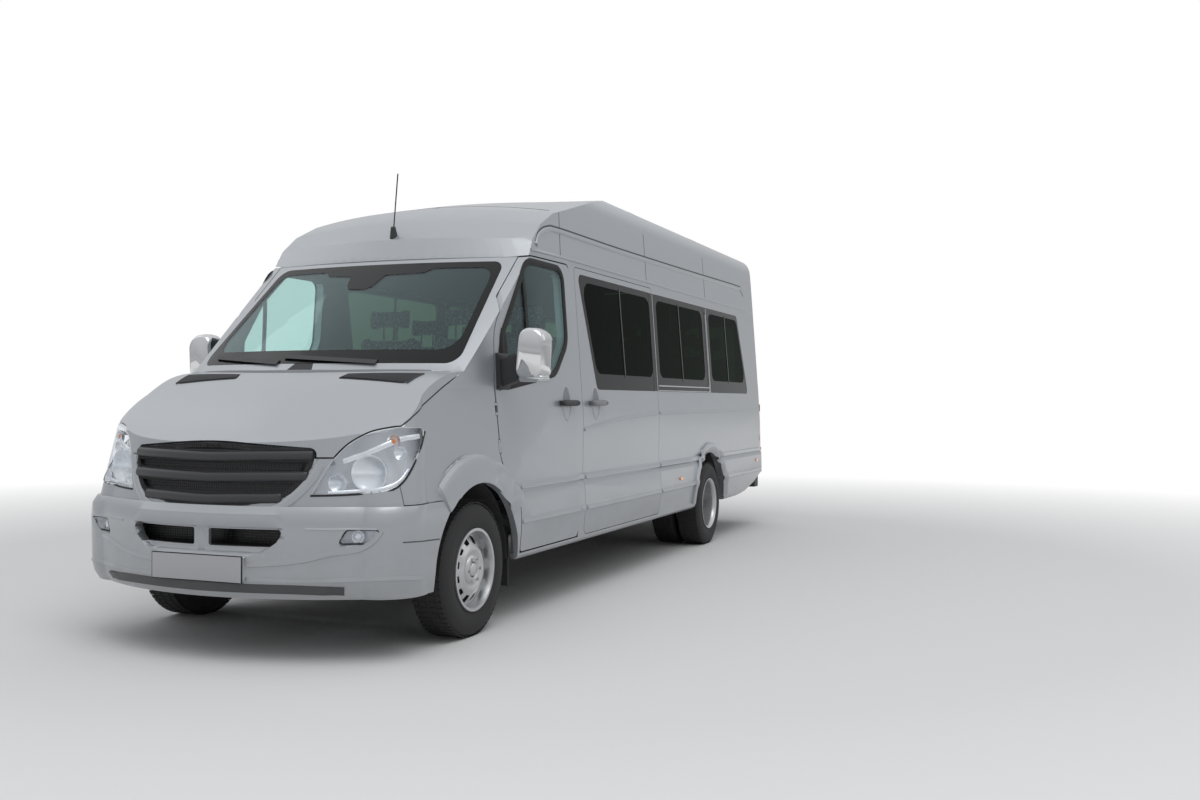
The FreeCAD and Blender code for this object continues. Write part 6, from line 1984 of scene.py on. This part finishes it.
    def moved(self, meshes: Sequence[bpy.types.Mesh], front: float, middle: float,
              wide: float) -> list[bpy.types.Mesh]:
        """Copy pads to a seat's place, stretched to its width."""
        copies = []
        for mesh in meshes:
            other = mesh.copy()
            other.transform(
                Matrix.Translation(at(front, middle, self.floor)) @ Matrix.Scale(wide, 4, (0, 1, 0)))
            copies.append(other)
        return copies

    def place(self, name: str, meshes: Sequence[bpy.types.Mesh], node: str, levels: int) -> None:
        """Make one padded piece of many pads.

        Args:
            name: the piece's name.
            meshes: its pads.
            node: the node that it replaces.
            levels: subdivisions.
        """
        piece = finished(name, joined(name, meshes), SEAT_CLOTH, "body", 80)
        if levels:
            soft = piece.modifiers.new("soft", "SUBSURF")
            soft.levels = soft.render_levels = levels
        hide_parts(node)

    def frames(self) -> None:
        """Stand each seat on its pedestal, with a shell behind its back and posts for the headrest."""
        meshes = []
        seats = list(self.cab) + [(front, middle, self.width) for front, middle in self.row_seats()]
        for front, middle, width in seats:
            on_arch = self.arch_span[0] < front < self.arch_span[1] and abs(middle) > 0.5
            low = self.arch_height if on_arch else 0.0
            meshes.append(block_mesh(
                "foot", at(front - 0.36, middle - width * 0.36, self.floor + low),
                at(front - 0.05, middle + width * 0.36, self.floor + 0.318), 0.02))
            meshes.append(block_mesh(
                "tray", at(front - 0.43, middle - width * 0.46, self.floor + 0.315),
                at(front - 0.01, middle + width * 0.46, self.floor + 0.352), 0.012))
            tilt = Matrix.Rotation(math.radians(-9), 3, "Y")
            meshes.append(block_mesh(
                "shell", at(front - 0.548, middle - width * 0.44, self.floor + 0.37),
                at(front - 0.532, middle + width * 0.44, self.floor + 1.00), 0.007, tilt))
            for shift in (-0.05, 0.05):
                meshes.append(block_mesh(
                    "post", at(front - 0.553, middle + shift - 0.006, self.floor + 1.0),
                    at(front - 0.541, middle + shift + 0.006, self.floor + 1.12), 0.005))
        finished("seat_frames", joined("seat_frames", meshes), CABIN_GREY, "body")


def seen_rays(tree: bpy.types.NodeTree) -> bpy.types.NodeSocket:
    """Give 1 for rays from the camera, off gloss or through glass, and 0 for the rest."""
    path = tree.nodes.new("ShaderNodeLightPath")
    total = path.outputs["Is Camera Ray"]
    for name in ("Is Glossy Ray", "Is Transmission Ray"):
        larger = tree.nodes.new("ShaderNodeMath")
        larger.operation = "MAXIMUM"
        tree.links.new(total, larger.inputs[0])
        tree.links.new(path.outputs[name], larger.inputs[1])
        total = larger.outputs[0]
    return total


@dataclass(frozen=True)
class Studio:
    """A pale floor and soft light from a sky-like dome and three large lamps."""

    floor_half: float = 60.0
    floor_colour: Colour = (0.76, 0.76, 0.76)
    fade: tuple[float, float] = (4.5, 11.0)
    lamps: tuple[tuple[str, Point, float, float], ...] = (
        ("key_lamp", (5.0, 4.0, 12.0), 8.0, 420), ("side_lamp", (-4.0, 11.0, 8.0), 7.0, 60),
        ("far_lamp", (2.0, -10.0, 9.0), 7.0, 60))
    sky: tuple[tuple[float, float], ...] = (
        (0.0, 0.08), (0.47, 0.10), (0.515, 0.20), (0.62, 0.36), (0.80, 0.55), (1.0, 0.80))
    room: tuple[tuple[float, float], ...] = (
        (0.0, 0.20), (0.49, 0.40), (0.51, 0.62), (0.56, 0.55), (0.75, 0.78), (1.0, 1.0))

    def build(self) -> None:
        """Make the floor, the lamps and the world."""
        work = bmesh.new()
        bmesh.ops.create_grid(work, x_segments=1, y_segments=1, size=self.floor_half)
        mesh = mesh_from(work, "floor")
        floor = bpy.data.objects.new("floor", mesh)
        bpy.context.scene.collection.objects.link(floor)
        mesh.materials.append(self.floor_material())
        for name, place, size, power in self.lamps:
            self.lamp(name, place, size, power)
        self.world()

    def floor_material(self) -> bpy.types.Material:
        """Paint the floor pale, and let it fade to white far from the vehicle."""
        shader = Shader("pale_floor")
        shader.set(Base_Color=(*self.floor_colour, 1), Roughness=0.9, Specular_IOR_Level=0.1)
        reach = shader.node("ShaderNodeVectorMath", {"operation": "LENGTH"}, Vector=shader.place())
        white = shader.node("ShaderNodeEmission", Strength=1.0)
        share = shader.node("ShaderNodeMath", {"operation": "MULTIPLY"})
        shader.feed(share, "0", shader.spread(reach.outputs["Value"], 0.0, 1.0, *self.fade))
        shader.feed(share, "1", seen_rays(shader.tree))
        mixed = shader.node("ShaderNodeMixShader")
        for index, value in ((0, share.outputs[0]), (1, shader.surface.outputs[0]), (2, white.outputs[0])):
            shader.feed(mixed, str(index), value)
        shader.feed(shader.output, "Surface", mixed.outputs[0])
        return shader.material

    def lamp(self, name: str, place: Point, size: float, power: float) -> None:
        """Hang one square soft lamp that faces the vehicle."""
        data = bpy.data.lights.new(name, "AREA")
        data.size, data.energy = size, power
        lamp = bpy.data.objects.new(name, data)
        lamp.location = place
        lamp.rotation_mode = "QUATERNION"
        lamp.rotation_quaternion = (Vector((0, 0, 1.0)) - lamp.location).to_track_quat("-Z", "Y")
        bpy.context.scene.collection.objects.link(lamp)

    def dome(self, tree: bpy.types.NodeTree, steps: Sequence[tuple[float, float]]) -> bpy.types.NodeSocket:
        """Give a background whose light changes with height.

        Args:
            tree: the world's node tree.
            steps: place from straight down to straight up, and light there.

        Returns:
            The background's socket.
        """
        place = tree.nodes.new("ShaderNodeTexCoord")
        parts = tree.nodes.new("ShaderNodeSeparateXYZ")
        height = tree.nodes.new("ShaderNodeMapRange")
        ramp = tree.nodes.new("ShaderNodeValToRGB")
        background = tree.nodes.new("ShaderNodeBackground")
        height.inputs["From Min"].default_value = -1.0
        for source, target in ((place.outputs["Generated"], parts.inputs[0]),
                               (parts.outputs["Z"], height.inputs["Value"]),
                               (height.outputs[0], ramp.inputs["Fac"]),
                               (ramp.outputs["Color"], background.inputs["Color"])):
            tree.links.new(source, target)
        for _ in range(len(steps) - 2):
            ramp.color_ramp.elements.new(0.5)
        for element, (spot, light) in zip(ramp.color_ramp.elements, steps):
            element.position = spot
            element.color = (light, light * 1.01, light * 1.03, 1)
        return background.outputs[0]

    def world(self) -> None:
        """Light from all round: white to the camera, a pale room to gloss and glass, sky to the rest."""
        world = bpy.data.worlds.new("studio_world")
        bpy.context.scene.world = world
        world.use_nodes = True
        tree = world.node_tree
        path = tree.nodes.new("ShaderNodeLightPath")
        white = tree.nodes.new("ShaderNodeBackground")
        white.inputs["Color"].default_value = (1, 1, 1, 1)
        shown, lit = tree.nodes.new("ShaderNodeMixShader"), tree.nodes.new("ShaderNodeMixShader")
        for source, target in ((seen_rays(tree), shown.inputs[0]),
                               (self.dome(tree, self.sky), shown.inputs[1]),
                               (self.dome(tree, self.room), shown.inputs[2]),
                               (path.outputs["Is Camera Ray"], lit.inputs[0]),
                               (shown.outputs[0], lit.inputs[1]), (white.outputs[0], lit.inputs[2]),
                               (lit.outputs[0], tree.nodes["World Output"].inputs["Surface"])):
            tree.links.new(source, target)


def main() -> None:
    """Build the vehicle's looks, assembly by assembly."""
    logging.basicConfig(level=logging.INFO, format="%(message)s")
    bpy.context.scene.view_settings.view_transform = "Standard"
    Studio().build()
    PHOTO.build()
    Shell().dress()
    for assembly in (Glazing(), SideTrim(), FrontEnd(), RearEnd(), Wheels(), Mirrors(), Seats()):
        assembly.build()
        LOG.info("finished %s", type(assembly).__name__)


if __name__ == "__main__":
    main()
